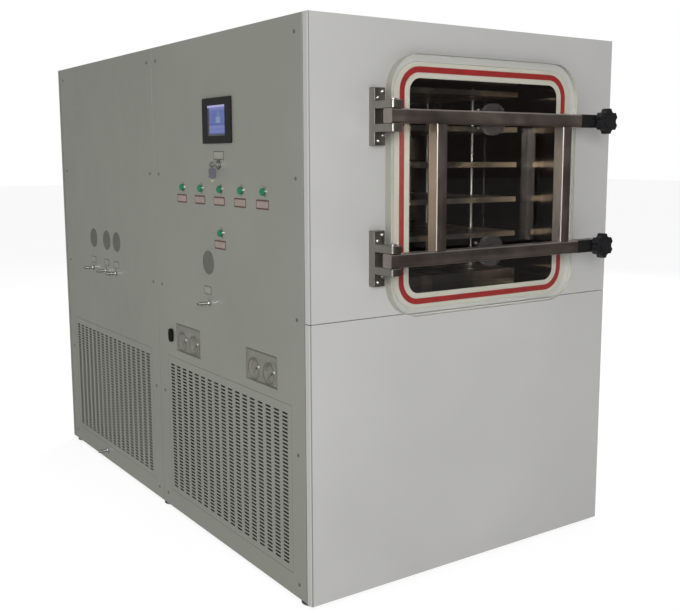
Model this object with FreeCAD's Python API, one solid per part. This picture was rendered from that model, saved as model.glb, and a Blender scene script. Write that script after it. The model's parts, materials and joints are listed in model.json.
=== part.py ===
import FreeCAD
import Part
import math
import os

# Pilot freeze dryer, millimetres, +Z up.
# The model is laid out from one corner of the cabinet: x runs from the left (control) side, y runs back
# from the front panel, z runs up from the floor. save() then moves every piece by the same offset, so
# that the frame's origin is the middle of the whole object's footprint, on the floor.

# ---------------------------------------------------------------- driving dimensions
cab_w = 1155.0            # cabinet width, x
cab_d = 1980.0            # cabinet depth, y
cab_h = 1600.0            # cabinet height, z
floor_gap = 12.0          # from the floor to the lower edge of the panels
sheet = 2.0               # panel sheet thickness
seam = 2.0                # visible gap between neighbouring panels
tray_depth = 14.0         # depth of a folded side or roof panel
front_depth = 22.0        # depth of the folded front and rear panels
front_lip = 28.0          # inner lip of the folded front and rear panels
recess = 4.0              # dark strip between the front panel and the side panel
bend_r = 5.0              # outer bend radius of the front panel's upright edges
edge_r = 1.5              # outer bend radius of the other folded edges
side_split_y = cab_d / 2.0  # seam between the two side panels
over = 1.0                # how far a cutting tool runs past the face it cuts

# frame
post_x = 40.0             # upright post section
post_y = 60.0
rail_h = 40.0             # height of the top rails
rail_w = 40.0             # width of every rail
base_h = 80.0             # height of the base rails
tube_wall = 3.0           # wall of the frame's tubes
pan_t = 3.0               # floor pan thickness
foot_r = 30.0             # levelling foot pad radius
foot_h = 8.0              # levelling foot pad height
foot_stem_r = 8.0         # levelling foot stem radius
foot_collar_r = 13.0      # small end of the pad's taper
chamber_rail_h = 46.0     # rails that carry chamber and cold trap
chamber_rail_half = 260.0  # from the door centre to each of those rails' centre line
box_rail_zs = (cab_h - 550.0, cab_h - 150.0)  # undersides of the two rails that carry the electrical box
box_rail_h = 30.0

# chamber and shelves
door_offset = 28.5        # from the cabinet's middle to the centre of door, seal, opening and shelves
door_cz = cab_h - 448.0
opening_w = 570.0         # chamber opening
opening_h = 594.0
opening_r = 36.0
chamber_d = 720.0         # from the flange face to the inner rear wall
chamber_wall = 6.0
rib_h = 13.0              # height of the stiffening ribs
rib_ys = (200.0, 420.0, 640.0)
flange_side = 20.0        # flange beyond the seal, at the sides
flange_above = 12.0       # flange beyond the seal, above and below
flange_r = 84.0
flange_t = 12.0
flange_gap = 0.6          # between the flange and the front panel's cut-out
split_below = 14.0        # from the flange's lower edge to the seam between the front panels
seal_side = 35.0          # seal's outer edge beyond the opening, at the sides
seal_above = 31.0         # the same above and below
seal_r = 68.0
seal_band = 16.0          # width of the seal
seal_seat = 5.0           # depth of the seal's groove in the flange
shelf_side = opening_r    # from a shelf's edge to the chamber's wall, so that it clears the round corners
shelf_headroom = 21.0     # from the middle of the uppermost shelf to the chamber's ceiling
shelf_d = 500.0
shelf_t = 15.5
shelf_count = 5
shelf_pitch = 108.6
shelf_front_y = 128.0
bottom_plate_t = 26.0
shelf_post_r = 5.0        # upright posts at the shelves' sides
shelf_lug = 20.0          # width of a shelf's side lug
lug_tip = 8.0             # lug beyond the post's centre
post_inset = 9.0          # from the shelf's side edge to the post's centre
post_backs = (220.0, 455.0)  # from the shelves' front edge to the posts
hole_fit = 0.15           # radial clearance of a fixed rod in its hole
manifold_r = 12.5         # upright oil pipes
manifold_in = 49.0        # from the shelf's side edge to each oil pipe
manifold_back = 55.0      # from the shelves' rear edge to the oil pipes
stub_r = 6.0
feed_r = 10.0             # oil feed through the rear wall
feed_up = 50.0            # its height over the chamber's floor
feed_out = 44.0           # how far it stands out behind the rear wall
port_r = 110.0            # vapour duct to the cold trap

# door
plate_edge = 20.0         # clear door plate beyond the flange
plate_r = 100.0
plate_t = 25.0
plate_gap = 2.0           # from the front panel's face to the door plate
seal_clear = 0.3          # from the seal to the closed door plate
bar = 38.0                # square door tube
bar_r = 5.0
bar_wall = 3.0
bar_gap = 36.0            # from the door plate to the back of the bars
bar_half_z = 189.5        # from the door centre to each bar's centre line
upright_in = 42.0         # from the opening's side edge to each upright's centre line
knuckle = 40.0            # solid hinge end of a bar
pad_r = 45.0
pad_t = 16.0              # clear disc against the plate
pad_boss_r = 16.0
pad_gap = 0.3             # between the disc and the plate

hinge_clear = 1.0         # from the plate's edge to the hinge bracket
hinge_plate_w = 53.0      # hinge bracket base plate
hinge_plate_h = 152.0
hinge_plate_t = 25.0
ear_w = 35.0
ear_t = 21.0
ear_r = 3.0               # rounding of the ears' front edges
ear_gap = 0.8             # between the bar and each ear
ear_over = 20.0           # ear length beyond the pin's axis
pin_r = 7.0
pin_fit = 0.1             # radial running clearance of pins and shafts
pin_head = 4.0

knob_out = 34.0           # from the plate's edge to the knobs' axis
knob_r = 38.0
knob_t = 26.0
knob_face_r = 20.0        # raised middle of the knob's face
knob_face_t = 4.0
knob_lobes = 6
scallop_r = 12.0
scallop_depth = 7.5
lobe_soft = 3.0           # rounding of the lobes' corners
knob_hub_r = 15.0
knob_gap = 0.4            # between the clamp arm and the knob's hub
hub_len = 3.6
stud_r = 7.0
nose_r = 6.0
nose_len = 20.0           # turned-down end of the clamp screw
arm_len = 92.0            # clamp arm, from the end of the tube to the knob's axis
arm_tongue = 40.0         # clamp arm's tongue inside the bar
tongue_fit = 0.3
socket_r = 12.0
socket_len = 44.0         # the catch stands this far out of the front panel
nose_in = 12.0            # how far the clamp screw's nose reaches into the socket
socket_spare = 8.0        # socket depth beyond the nose
nose_fit = 1.4            # radial clearance of the nose, which leaves on an arc

# fittings on the left side: a place is (y, z) on the panel's face
nozzle_r = 6.0
nozzle_len = 40.0         # how far a hose nozzle stands out of the side panel
nozzle_bore_r = 4.0
nozzle_nut = 20.0         # across flats
nozzle_nut_t = 5.0
nozzle_in = 12.0          # how far it reaches behind the panel face
front_nozzle = (588.0, 783.0)
nozzle_z = 797.0          # the three rear nozzles
rear_nozzles = ((side_split_y + 503.0, nozzle_z), (side_split_y + 398.0, nozzle_z),
                (side_split_y + 645.0, nozzle_z))
drain_nozzle = (side_split_y + 560.0, 52.0)

cover_r = 37.5            # flat round covers
cover_t = 1.5
cover_bevel = 1.0
plug_r = 14.0             # the plug that holds a cover in its hole
plug_len = 8.0
plug_snap = 0.6           # snap rim of the plug, behind the panel
front_cover = (588.0, cab_h - 689.0)
cover_z = cab_h - 682.0    # the three rear covers
rear_covers = ((side_split_y + 484.0, cover_z), (side_split_y + 380.0, cover_z), (side_split_y + 628.0, cover_z))

bezel_r = 15.5
bezel_t = 3.5
barrel_r = 12.8
barrel_len = 30.0
cap_r = 11.4
cap_len = 16.0
cap_bevel = 3.0           # height of the cap's tapered crown
cap_travel = 4.0
cap_sink = 1.0            # how far a pressed cap's edge lies inside its bezel
cap_fit = 0.3
button_first_y = 233.0
button_pitch = 132.0
button_count = 5
button_z = cab_h - 459.4
lower_button = (497.0, cab_h - 591.6)

key_y = 504.0
key_z = cab_h - 386.0
key_bezel_r = 14.0
key_barrel_r = 11.0
key_plug_r = 8.0
key_shank = 9.0           # visible part of the key's blade
blade_half = 4.0          # half the height of the blade
key_in = 16.0             # how far the blade reaches behind the panel face
bow_r = 9.0
bow_t = 1.8
bow_hole_r = 3.0
bow_rim = 0.6             # bevel of the hole's rim
tag_wire = 1.4            # square section of the split ring
tag_ring_r = 6.0          # to the middle of that section
tag_gap = 0.3             # between the ring and what it hangs on
tag_hole_r = 2.5
tag_w = 24.0
tag_h = 28.0
tag_t = 3.0
tail_w = 10.0             # narrow lower end of the tag
tail_h = 14.0

hmi_w = 184.0
hmi_h = 135.0
hmi_y = 504.5
hmi_z = cab_h - 255.5
hmi_proud = 6.0
hmi_body = 40.0
hmi_rim = 7.0             # bezel beyond its cut-out
screen_w = 112.0
screen_h = 90.0
screen_t = 2.0
screen_in = 0.5           # screen glass behind the bezel's face

window_w = 180.0
window_h = 93.0
window_z = 635.5
window_front_y = 262.5
window_seam = 237.5       # from the seam between the side panels to the rear window's middle
gauge_pitch = 88.0
gauge_drop = 10.5         # from the window's middle down to the gauges' centres
gauge_r = 33.0
gauge_rim = 4.0
gauge_pocket = 4.0        # from the window's back to the insert's floor
gauge_well = 8.0          # depth of a dial below that floor
insert_edge = 12.0        # insert beyond the window
insert_lip = 3.0          # seat of the window on the insert
axle_r = 1.2
pointer_hub_r = 4.0
pointer_half = 2.0        # half the pointer's width at its hub
pointer_out = 2.0         # from the insert's floor to the pointer
pointer_short = 6.0       # from the pointer's tip to the well's wall
pointer_tail = 7.0
pointer_t = 1.2
pointer_start = 135.0     # pointer's rest position, turned from straight up

grommet = (side_split_y - 108.0, 635.0)
grommet_w = 30.0
grommet_h = 46.0
grommet_t = 7.0
grommet_lip = 4.0

# vents in the four side panels
vent_side = 70.5          # from a side panel's upright edge to its vent cover
vent_h = 484.0
vent_z = 76.0             # its lower edge
vent_gap = 1.0            # between the cover and its cut-out
vent_rim = 6.0            # seat of the cover on the rim behind it
vent_r = 2.0

# machinery
trap_clear = 46.0         # cold trap drum, from the chamber rails' upper edge to its skin
trap_behind = 500.0       # from the end of its straight wall to the cabinet's rear
trap_dome = 60.0
trap_lag = 40.0           # thickness of its insulated wall
duct_len = 134.0          # vapour duct, from the chamber to the drum
duct_wall = 4.0
saddle_t = 30.0
saddle_up = 108.0         # from the drum's underside to the saddles' upper edge
saddle_in = 70.0          # from the drum's front end to its front saddle
saddle_back = 130.0       # from the end of its straight wall to its rear saddle
boss_r = 33.0             # collars at both ends of the suction pipe
boss_drop = 8.0
pipe_r = 25.0
pump_back = 40.0          # from the drum's rear end to the suction pipe
pump_block = 240.0        # pump block, square section
pump_block_len = 220.0
pump_block_r = 20.0
pump_port_in = 120.0      # from the block's front face to its inlet
pump_neck = 48.0
pump_plate_w = 300.0
pump_plate_t = 12.0
pump_margin = 20.0
motor_r = 95.0
motor_len = 280.0
motor_foot_w = 140.0
motor_foot_len = 160.0
motor_foot_h = 48.0
tank_gap = 80.0           # from the compressors' skids to the oil tank
compressor_ys = (300.0, 700.0)
shell_r = 115.0           # compressor shell
shell_low = 70.0
shell_high = 300.0
shell_dome = 80.0
shell_foot = 12.0
shell_base_r = 60.0
skid_w = 240.0            # plate under a compressor
skid_d = 120.0
skid_t = 20.0
coil_x = 62.0             # condenser core
coil_t = 44.0
coil_h = 430.0
coil_in = 71.0            # from the vent cover's end to the core's end
shroud_d = 76.0
shroud_wall = 4.0
fan_r = 160.0
fan_gap = 8.0
fan_blades = 5
fan_hub_r = 30.0
fan_w = 36.0
fan_pitch = 24.0          # set of the blades, degrees
blade_w = 72.0
blade_t = 3.0
fan_shaft_r = 6.0
fan_motor_r = 45.0
fan_motor_len = 70.0
arm_w = 16.0              # the three arms that hold the fan's motor
arm_t = 8.0
tank_right = 215.0        # from the right side to the oil tank's middle
tank_w = 240.0
tank_clear = 153.0        # from the oil pump's top to the chamber's rails
tank_front_y = 160.0
tank_len = 460.0
tank_r = 12.0
oil_pump_r = 60.0
oil_pump_h = 160.0
oil_pump_in = 140.0       # from the tank's front end to the pump's axis
lid = 120.0               # filler lid, square
lid_in = 60.0             # from the tank's rear end to its lid
lid_t = 30.0
box_w = 400.0             # electrical box
box_h = 470.0
box_r = 6.0
box_clear = 48.0          # from the electrical box to the chamber's ribs

# ---------------------------------------------------------------- values that follow
plate_back_y = -plate_gap
plate_front_y = plate_back_y - plate_t
bar_back_y = plate_front_y - bar_gap
bar_front_y = bar_back_y - bar
bar_mid_y = (bar_back_y + bar_front_y) / 2.0
knob_back_y = bar_front_y - knob_gap - hub_len
front_reach = knob_t - knob_back_y
side_reach = nozzle_len
offset = FreeCAD.Vector((side_reach - cab_w) / 2.0, (front_reach - cab_d) / 2.0, 0.0)

door_cx = cab_w / 2.0 + door_offset
seal_w = opening_w + 2.0 * seal_side
seal_h = opening_h + 2.0 * seal_above
flange_w = seal_w + 2.0 * flange_side
flange_h = seal_h + 2.0 * flange_above
plate_w = flange_w + 2.0 * plate_edge
plate_h = flange_h + 2.0 * plate_edge
opening_floor = door_cz - opening_h / 2.0
opening_ceiling = door_cz + opening_h / 2.0
front_split_z = door_cz - flange_h / 2.0 - split_below
chamber_rear = chamber_d + chamber_wall
chamber_rail_top = opening_floor - chamber_wall - rib_h
chamber_rail_z = chamber_rail_top - chamber_rail_h
seal_proud = plate_gap - seal_clear

shelf_w = opening_w - 2.0 * shelf_side
shelf_back_y = shelf_front_y + shelf_d
shelf_zs = [opening_ceiling - shelf_headroom - shelf_pitch * i for i in range(shelf_count)]
post_ys = [shelf_front_y + back for back in post_backs]
manifold_half = shelf_w / 2.0 - manifold_in
manifold_y = shelf_back_y + manifold_back
feed_z = opening_floor + feed_up

bar_zs = (door_cz + bar_half_z, door_cz - bar_half_z)
bars_left = door_cx - plate_w / 2.0 - hinge_clear - hinge_plate_w
knob_cx = door_cx + plate_w / 2.0 + knob_out
bars_right = knob_cx - arm_len
upright_half = opening_w / 2.0 - upright_in
pin_x = bars_left + ear_w / 2.0

side_front_y = front_depth + recess
base_z = floor_gap + sheet
base_top = base_z + base_h
pan_top = base_top + pan_t
frame_ys = (front_depth + post_y / 2.0, side_split_y, cab_d - front_depth - post_y / 2.0)
roof_z = cab_h - tray_depth
button_ys = [button_first_y + button_pitch * i for i in range(button_count)]
button_places = [(y, button_z) for y in button_ys] + [lower_button]
bow_x = -bezel_t - key_shank - bow_r
window_ys = (window_front_y, side_split_y - window_seam)
gauge_z = window_z - gauge_drop
trap_r = door_cz - chamber_rail_top - trap_clear
trap_y = chamber_rear + duct_len
trap_len = cab_d - trap_behind - trap_y
saddle_ys = (trap_y + saddle_in, trap_y + trap_len - saddle_back)
pump_y = trap_y + trap_len - pump_back
tank_h = chamber_rail_z - pan_top - oil_pump_h - tank_clear
compressor_x = cab_w - tank_right - (tank_w + skid_w) / 2.0 - tank_gap


# ---------------------------------------------------------------- helpers
def vec(x, y, z):
    return FreeCAD.Vector(x, y, z)


AXES = {"x": vec(1, 0, 0), "y": vec(0, 1, 0), "z": vec(0, 0, 1)}


def box(x0, x1, y0, y1, z0, z1):
    return Part.makeBox(x1 - x0, y1 - y0, z1 - z0, vec(x0, y0, z0))


def rod(axis, r, length, x, y, z):
    """A cylinder that starts at x, y, z and runs along +axis."""
    return Part.makeCylinder(r, length, vec(x, y, z), AXES[axis])


def rounded_plate(axis, u, v, w, h, r, t0, t1):
    """A plate w by h with rounded corners, centred on u, v, lying across axis from t0 to t1."""
    if axis == "y":
        body = box(u - w / 2.0, u + w / 2.0, t0, t1, v - h / 2.0, v + h / 2.0)
    else:
        body = box(t0, t1, u - w / 2.0, u + w / 2.0, v - h / 2.0, v + h / 2.0)
    return fillet_along(body, axis, r)


def round_end(w):
    """The corner radius that makes a plate's narrow ends as good as half round."""
    return 0.4975 * w


def fillet_along(body, axis, r):
    """Rounds a body's straight edges that run along axis."""
    edges = []
    for edge in body.Edges:
        run = edge.Vertexes[-1].Point.sub(edge.Vertexes[0].Point)
        if run.Length > 0 and run.normalize().cross(AXES[axis]).Length < 1e-6:
            edges.append(edge)
    return body.makeFillet(r, edges)


def tube(axis, x0, x1, y0, y1, z0, z1, wall):
    """A rectangular tube, open at both ends along axis."""
    grow = {a: (0.0 if a == axis else wall) for a in "xyz"}
    hollow = box(x0 + grow["x"], x1 - grow["x"], y0 + grow["y"], y1 - grow["y"],
                 z0 + grow["z"], z1 - grow["z"])
    return box(x0, x1, y0, y1, z0, z1).cut(hollow)


def fused(shapes):
    body = shapes[0]
    for other in shapes[1:]:
        body = body.fuse(other)
    return body.removeSplitter()


def cut_all(body, tools):
    for tool in tools:
        body = body.cut(tool)
    return body


def turned(profile, axis, x, y, z):
    """A turned piece: its profile is a closed list of (radius, distance along axis)."""
    start = vec(x, y, z)
    side = {"x": AXES["y"], "y": AXES["x"], "z": AXES["x"]}[axis]
    points = [start + side * r + AXES[axis] * t for r, t in profile]
    wire = Part.makePolygon(points + points[:1])
    return Part.Face(wire).revolve(start, AXES[axis], 360)


def dished(r, start, rise):
    """The outline of a dished end for turned(), in three tapering bands from its rim to its crown."""
    return [(r, start), (r * 0.8, start + rise * 0.6), (r * 0.4, start + rise * 0.95), (0, start + rise)]


def mirror_x(body, x):
    return body.mirror(vec(x, 0, 0), AXES["x"])


def save(name, shapes):
    """Writes one node: a single solid, or a group of separate solids."""
    body = shapes if not isinstance(shapes, (list, tuple)) else Part.makeCompound(list(shapes))
    placed = body.copy()
    placed.translate(offset)
    placed.exportStep("parts/" + name + ".step")


# ---------------------------------------------------------------- cabinet frame
def cabinet_frame():
    """Welded frame: base rails, six posts, top rails, and the rails that carry chamber and cold trap."""
    left = tray_depth
    right = cab_w - tray_depth
    front = front_depth
    rear = cab_d - front_depth
    pieces = []
    for x0 in (left, right - rail_w):
        pieces.append(tube("y", x0, x0 + rail_w, front, rear, base_z, base_top, tube_wall))
        pieces.append(tube("y", x0, x0 + rail_w, front, rear, roof_z - rail_h, roof_z, tube_wall))
        for y in frame_ys:
            half = post_y / 2.0
            pieces.append(tube("z", x0, x0 + post_x, y - half, y + half, base_top, roof_z - rail_h, tube_wall))
    inner_left = left + rail_w
    inner_right = right - rail_w
    for y in frame_ys:
        half = rail_w / 2.0
        for z0, z1 in ((base_z, base_top), (roof_z - rail_h, roof_z),
                       (chamber_rail_z, chamber_rail_top)):
            pieces.append(tube("x", inner_left, inner_right, y - half, y + half, z0, z1, tube_wall))
    for z in box_rail_zs:
        pieces.append(tube("y", inner_left - rail_w / 2.0, inner_left, frame_ys[0] + post_y / 2.0,
                           frame_ys[1] - post_y / 2.0, z, z + box_rail_h, tube_wall))
    for y0, y1 in zip(frame_ys[:-1], frame_ys[1:]):
        for side in (-1, 1):
            mid = door_cx + side * chamber_rail_half
            pieces.append(tube("y", mid - rail_w / 2.0, mid + rail_w / 2.0, y0 + rail_w / 2.0,
                               y1 - rail_w / 2.0, chamber_rail_z, chamber_rail_top, tube_wall))
    return fused(pieces)


def floor_pan():
    """Steel floor between the posts, on the base rails."""
    edge = tray_depth + rail_w
    return box(edge, cab_w - edge, front_depth, cab_d - front_depth, base_top, pan_top)


def levelling_feet():
    """Round pads with a tapered collar and the stem up to the base rail."""
    profile = [(0, 0), (foot_r, 0), (foot_r, foot_h / 2.0), (foot_collar_r, foot_h), (foot_stem_r, foot_h),
               (foot_stem_r, base_z), (0, base_z)]
    rail_x = tray_depth + rail_w / 2.0
    return [turned(profile, "z", x, y, 0) for x in (rail_x, cab_w - rail_x) for y in frame_ys]


# ---------------------------------------------------------------- panels
def folded_panel(face, lo, hi, lip, upright_r):
    """A folded sheet panel. Its outward face is named by side and axis, its edges are folded back through
    the box's full depth, and with a lip they turn inward once more."""
    axis = face[1]
    outward = face[0] == "+"
    number = "xyz".index(axis)
    level = hi[number] if outward else lo[number]
    outer = box(lo[0], hi[0], lo[1], hi[1], lo[2], hi[2])
    upright, level_edges = [], []
    for edge in outer.Edges:
        ends = [v.Point[number] for v in edge.Vertexes]
        if max(abs(e - level) for e in ends) > 1e-6:
            continue
        run = edge.Vertexes[1].Point.sub(edge.Vertexes[0].Point)
        (upright if abs(run.z) > 1e-6 else level_edges).append(edge)
    if upright and upright_r > edge_r:
        outer = outer.makeFillet(upright_r, upright)
    elif level_edges:
        outer = outer.makeFillet(edge_r, upright + level_edges)
    inner_lo = [v + sheet for v in lo]
    inner_hi = [v - sheet for v in hi]
    window_lo = [v + lip for v in lo]
    window_hi = [v - lip for v in hi]
    open_end = lo[number] - over if outward else hi[number] + over
    for low, high in ((inner_lo, inner_hi), (window_lo, window_hi)):
        deep = (lip == 0.0 and low is inner_lo) or low is window_lo
        if outward:
            high[number] = hi[number] - sheet
            low[number] = open_end if deep else lo[number] + sheet
        else:
            low[number] = lo[number] + sheet
            high[number] = open_end if deep else hi[number] - sheet
    cavity = box(inner_lo[0], inner_hi[0], inner_lo[1], inner_hi[1], inner_lo[2], inner_hi[2])
    if upright and upright_r > sheet:
        cavity = fillet_along(cavity, "z", upright_r - sheet)
    body = outer.cut(cavity)
    if lip > 0.0:
        body = body.cut(box(window_lo[0], window_hi[0], window_lo[1], window_hi[1], window_lo[2], window_hi[2]))
    return body


def front_panel_upper():
    lo = (0.0, 0.0, front_split_z + seam / 2.0)
    panel = folded_panel("-y", lo, (cab_w, front_depth, cab_h), front_lip, bend_r)
    hole = rounded_plate("y", door_cx, door_cz, flange_w + 2.0 * flange_gap, flange_h + 2.0 * flange_gap,
                         flange_r + flange_gap, -over, sheet + over)
    return panel.cut(hole)


def front_panel_lower():
    hi = (cab_w, front_depth, front_split_z - seam / 2.0)
    return folded_panel("-y", (0.0, 0.0, floor_gap), hi, front_lip, bend_r)


def rear_panel():
    lo = (0.0, cab_d - front_depth, floor_gap)
    return folded_panel("+y", lo, (cab_w, cab_d, cab_h), front_lip, bend_r)


def side_spans():
    """The y ranges of the front and the rear side panel."""
    return ((side_front_y, side_split_y - seam / 2.0),
            (side_split_y + seam / 2.0, cab_d - side_front_y))


def vent_middle(span):
    return (span[0] + span[1]) / 2.0


def vent_width(span):
    return span[1] - span[0] - 2.0 * vent_side


def vent_plate(span, grow, x0, x1):
    """The outline of a vent cover, larger by grow all round, between two depths."""
    return rounded_plate("x", vent_middle(span), vent_z + vent_h / 2.0, vent_width(span) + 2.0 * grow,
                         vent_h + 2.0 * grow, vent_r, x0, x1)


def side_panel(span):
    """Left side panel with the seat for its vent cover: a cut-out with a rim behind it."""
    panel = folded_panel("-x", (0.0, span[0], floor_gap), (tray_depth, span[1], cab_h), 0.0, edge_r)
    rim = vent_plate(span, vent_rim, sheet, 2.0 * sheet).cut(vent_plate(span, -vent_rim, 0.0, 3.0 * sheet))
    return panel.cut(vent_plate(span, vent_gap / 2.0, -over, sheet)).fuse(rim).removeSplitter()


def panel_hole(r, place):
    """A round hole through the left side panel's sheet."""
    return rod("x", r, sheet + 2.0 * over, -over, place[0], place[1])


def panel_cutout(place, w, h, r):
    """A hole with rounded corners through the left side panel's sheet."""
    return rounded_plate("x", place[0], place[1], w, h, r, -over, sheet + over)


def left_panel_front():
    """Carries the controls: one hole for each piece that passes through it."""
    through = [panel_hole(barrel_r + hole_fit, place) for place in button_places]
    through.append(panel_hole(key_barrel_r + hole_fit, (key_y, key_z)))
    through.append(panel_hole(nozzle_r + hole_fit, front_nozzle))
    through.append(panel_hole(plug_r + hole_fit, front_cover))
    through.append(panel_cutout((hmi_y, hmi_z), hmi_w - 2.0 * hmi_rim, hmi_h - 2.0 * hmi_rim, 2.0))
    for y in window_ys:
        through.append(panel_cutout((y, window_z), window_w + seam / 2.0, window_h + seam / 2.0, 3.0))
    neck_w = grommet_w - 2.0 * grommet_lip + 2.0 * hole_fit
    neck_h = grommet_h - 2.0 * grommet_lip + 2.0 * hole_fit
    through.append(panel_cutout(grommet, neck_w, neck_h, round_end(neck_w)))
    return cut_all(side_panel(side_spans()[0]), through)


def left_panel_rear():
    through = [panel_hole(nozzle_r + hole_fit, place) for place in rear_nozzles + (drain_nozzle,)]
    through += [panel_hole(plug_r + hole_fit, place) for place in rear_covers]
    return cut_all(side_panel(side_spans()[1]), through)


def vent_covers():
    """Flat removable covers on the rims of the four side panels."""
    covers = []
    for span in side_spans():
        cover = vent_plate(span, -vent_gap / 2.0, 0.0, sheet)
        covers += [cover, mirror_x(cover, cab_w / 2.0)]
    return covers


def roof_panels():
    """Two roof panels between the side panels and the front and rear panels."""
    left = tray_depth + seam / 2.0
    roofs = []
    for y0, y1 in ((front_depth + seam / 2.0, side_split_y - seam / 2.0),
                   (side_split_y + seam / 2.0, cab_d - front_depth - seam / 2.0)):
        roofs.append(folded_panel("+z", (left, y0, roof_z), (cab_w - left, y1, cab_h), 0.0, edge_r))
    return roofs


# ---------------------------------------------------------------- chamber
def seal_ring(y0, y1):
    """The seal's rounded square band between two depths."""
    outer = rounded_plate("y", door_cx, door_cz, seal_w, seal_h, seal_r, y0, y1)
    inner = rounded_plate("y", door_cx, door_cz, seal_w - 2.0 * seal_band, seal_h - 2.0 * seal_band,
                          seal_r - seal_band, y0 - over, y1 + over)
    return outer.cut(inner)


def chamber_space():
    """The rounded square space inside the chamber, from ahead of the flange to the rear wall."""
    return rounded_plate("y", door_cx, door_cz, opening_w, opening_h, opening_r, -over, chamber_d)


def around_space(grow, y0, y1):
    """A block about the chamber's space, larger by grow on each side."""
    return rounded_plate("y", door_cx, door_cz, opening_w + 2.0 * grow, opening_h + 2.0 * grow,
                         opening_r + grow, y0, y1)


def chamber():
    """Rounded square vessel with its front flange, stiffening ribs and the ports in its rear wall."""
    flange = rounded_plate("y", door_cx, door_cz, flange_w, flange_h, flange_r, 0.0, flange_t)
    pieces = [flange, around_space(chamber_wall, flange_t, chamber_rear)]
    for y in rib_ys:
        pieces.append(around_space(chamber_wall + rib_h, y, y + chamber_wall))
    body = fused(pieces).cut(chamber_space()).cut(seal_ring(-over, seal_seat))
    length = chamber_wall + 2.0 * over
    ports = [rod("y", port_r, length, door_cx, chamber_d - over, door_cz)]
    for x in (door_cx - manifold_half, door_cx + manifold_half):
        ports.append(rod("y", feed_r + hole_fit, length, x, chamber_d - over, feed_z))
    return cut_all(body, ports)


def door_seal():
    return seal_ring(-seal_proud, seal_seat)


def post_places():
    reach = shelf_w / 2.0 + post_inset
    return [(door_cx + side * reach, y) for side in (-1, 1) for y in post_ys]


def shelves():
    """Shelf plates with side lugs, half as thick as the plate, that slide over the upright posts."""
    plates = []
    half_lug = shelf_t / 4.0
    for z in shelf_zs:
        parts = [box(door_cx - shelf_w / 2.0, door_cx + shelf_w / 2.0, shelf_front_y, shelf_back_y,
                     z - shelf_t / 2.0, z + shelf_t / 2.0)]
        for side in (-1, 1):
            edge = door_cx + side * shelf_w / 2.0
            tip = edge + side * (post_inset + lug_tip)
            for y in post_ys:
                parts.append(box(min(edge, tip), max(edge, tip), y - shelf_lug / 2.0, y + shelf_lug / 2.0,
                                 z - half_lug, z + half_lug))
        holes = [rod("z", shelf_post_r + hole_fit, shelf_t, x, y, z - shelf_t / 2.0) for x, y in post_places()]
        plates.append(cut_all(fused(parts), holes))
    return plates


def shelf_posts():
    """Posts from the chamber's floor to its ceiling, with ends that follow its rounded corners."""
    inside = chamber_space()
    return [rod("z", shelf_post_r, opening_h, x, y, opening_floor).common(inside) for x, y in post_places()]


def bottom_plate():
    return box(door_cx - shelf_w / 2.0, door_cx + shelf_w / 2.0, shelf_front_y, shelf_back_y,
               opening_floor, opening_floor + bottom_plate_t)


def oil_manifold():
    """Two upright oil pipes behind the shelves, with a stub to each shelf and a feed through the rear wall."""
    pipes = []
    foot = feed_z - 2.0 * manifold_r
    for side in (-1, 1):
        x = door_cx + side * manifold_half
        parts = [rod("z", manifold_r, shelf_zs[0] + manifold_r - foot, x, manifold_y, foot)]
        for z in shelf_zs:
            parts.append(rod("y", stub_r, manifold_back, x, shelf_back_y, z))
        parts.append(rod("y", feed_r, chamber_rear + feed_out - manifold_y, x, manifold_y, feed_z))
        pipes.append(fused(parts))
    return pipes


# ---------------------------------------------------------------- door
def door_plate():
    return rounded_plate("y", door_cx, door_cz, plate_w, plate_h, plate_r, plate_front_y, plate_back_y)


def door_frame():
    """Two level bars with solid hinge ends and two uprights welded between them."""
    tubes = []
    half = bar / 2.0
    inner = half - bar_wall
    for z in bar_zs:
        body = box(bars_left, bars_right, bar_front_y, bar_back_y, z - half, z + half)
        body = fillet_along(body, "x", bar_r)
        body = body.cut(box(bars_left + knuckle, bars_right + over, bar_mid_y - inner, bar_mid_y + inner,
                            z - inner, z + inner))
        tubes.append(body.cut(rod("z", pin_r + pin_fit, 2.0 * bar, pin_x, bar_mid_y, z - bar)))
    z0 = bar_zs[1] + half
    z1 = bar_zs[0] - half
    for side in (-1, 1):
        x = door_cx + side * upright_half
        body = fillet_along(box(x - half, x + half, bar_front_y, bar_back_y, z0, z1), "z", bar_r)
        bore = box(x - inner, x + inner, bar_mid_y - inner, bar_mid_y + inner, z0 - over, z1 + over)
        tubes.append(body.cut(bore))
    return fused(tubes)


def door_pads():
    """Clear discs that bear on the door plate, each with a boss up to its bar."""
    profile = [(0, -pad_gap), (pad_r, -pad_gap), (pad_r, -pad_t), (pad_boss_r, -pad_t), (pad_boss_r, -bar_gap),
               (0, -bar_gap)]
    return [turned(profile, "y", door_cx, plate_front_y, z) for z in bar_zs]


def clamp_arms():
    """Black arms that carry on from the bars: a tongue in the tube and a round end about the clamp screw."""
    arms = []
    half = bar / 2.0
    tongue = half - bar_wall - tongue_fit
    for z in bar_zs:
        parts = [
            box(bars_right, knob_cx, bar_front_y, bar_back_y, z - half, z + half),
            rod("y", half, bar, knob_cx, bar_front_y, z),
            box(bars_right - arm_tongue, bars_right, bar_mid_y - tongue, bar_mid_y + tongue,
                z - tongue, z + tongue),
        ]
        bore = rod("y", stud_r + pin_fit, bar + 2.0 * over, knob_cx, bar_front_y - over, z)
        arms.append(fused(parts).cut(bore))
    return arms


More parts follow.
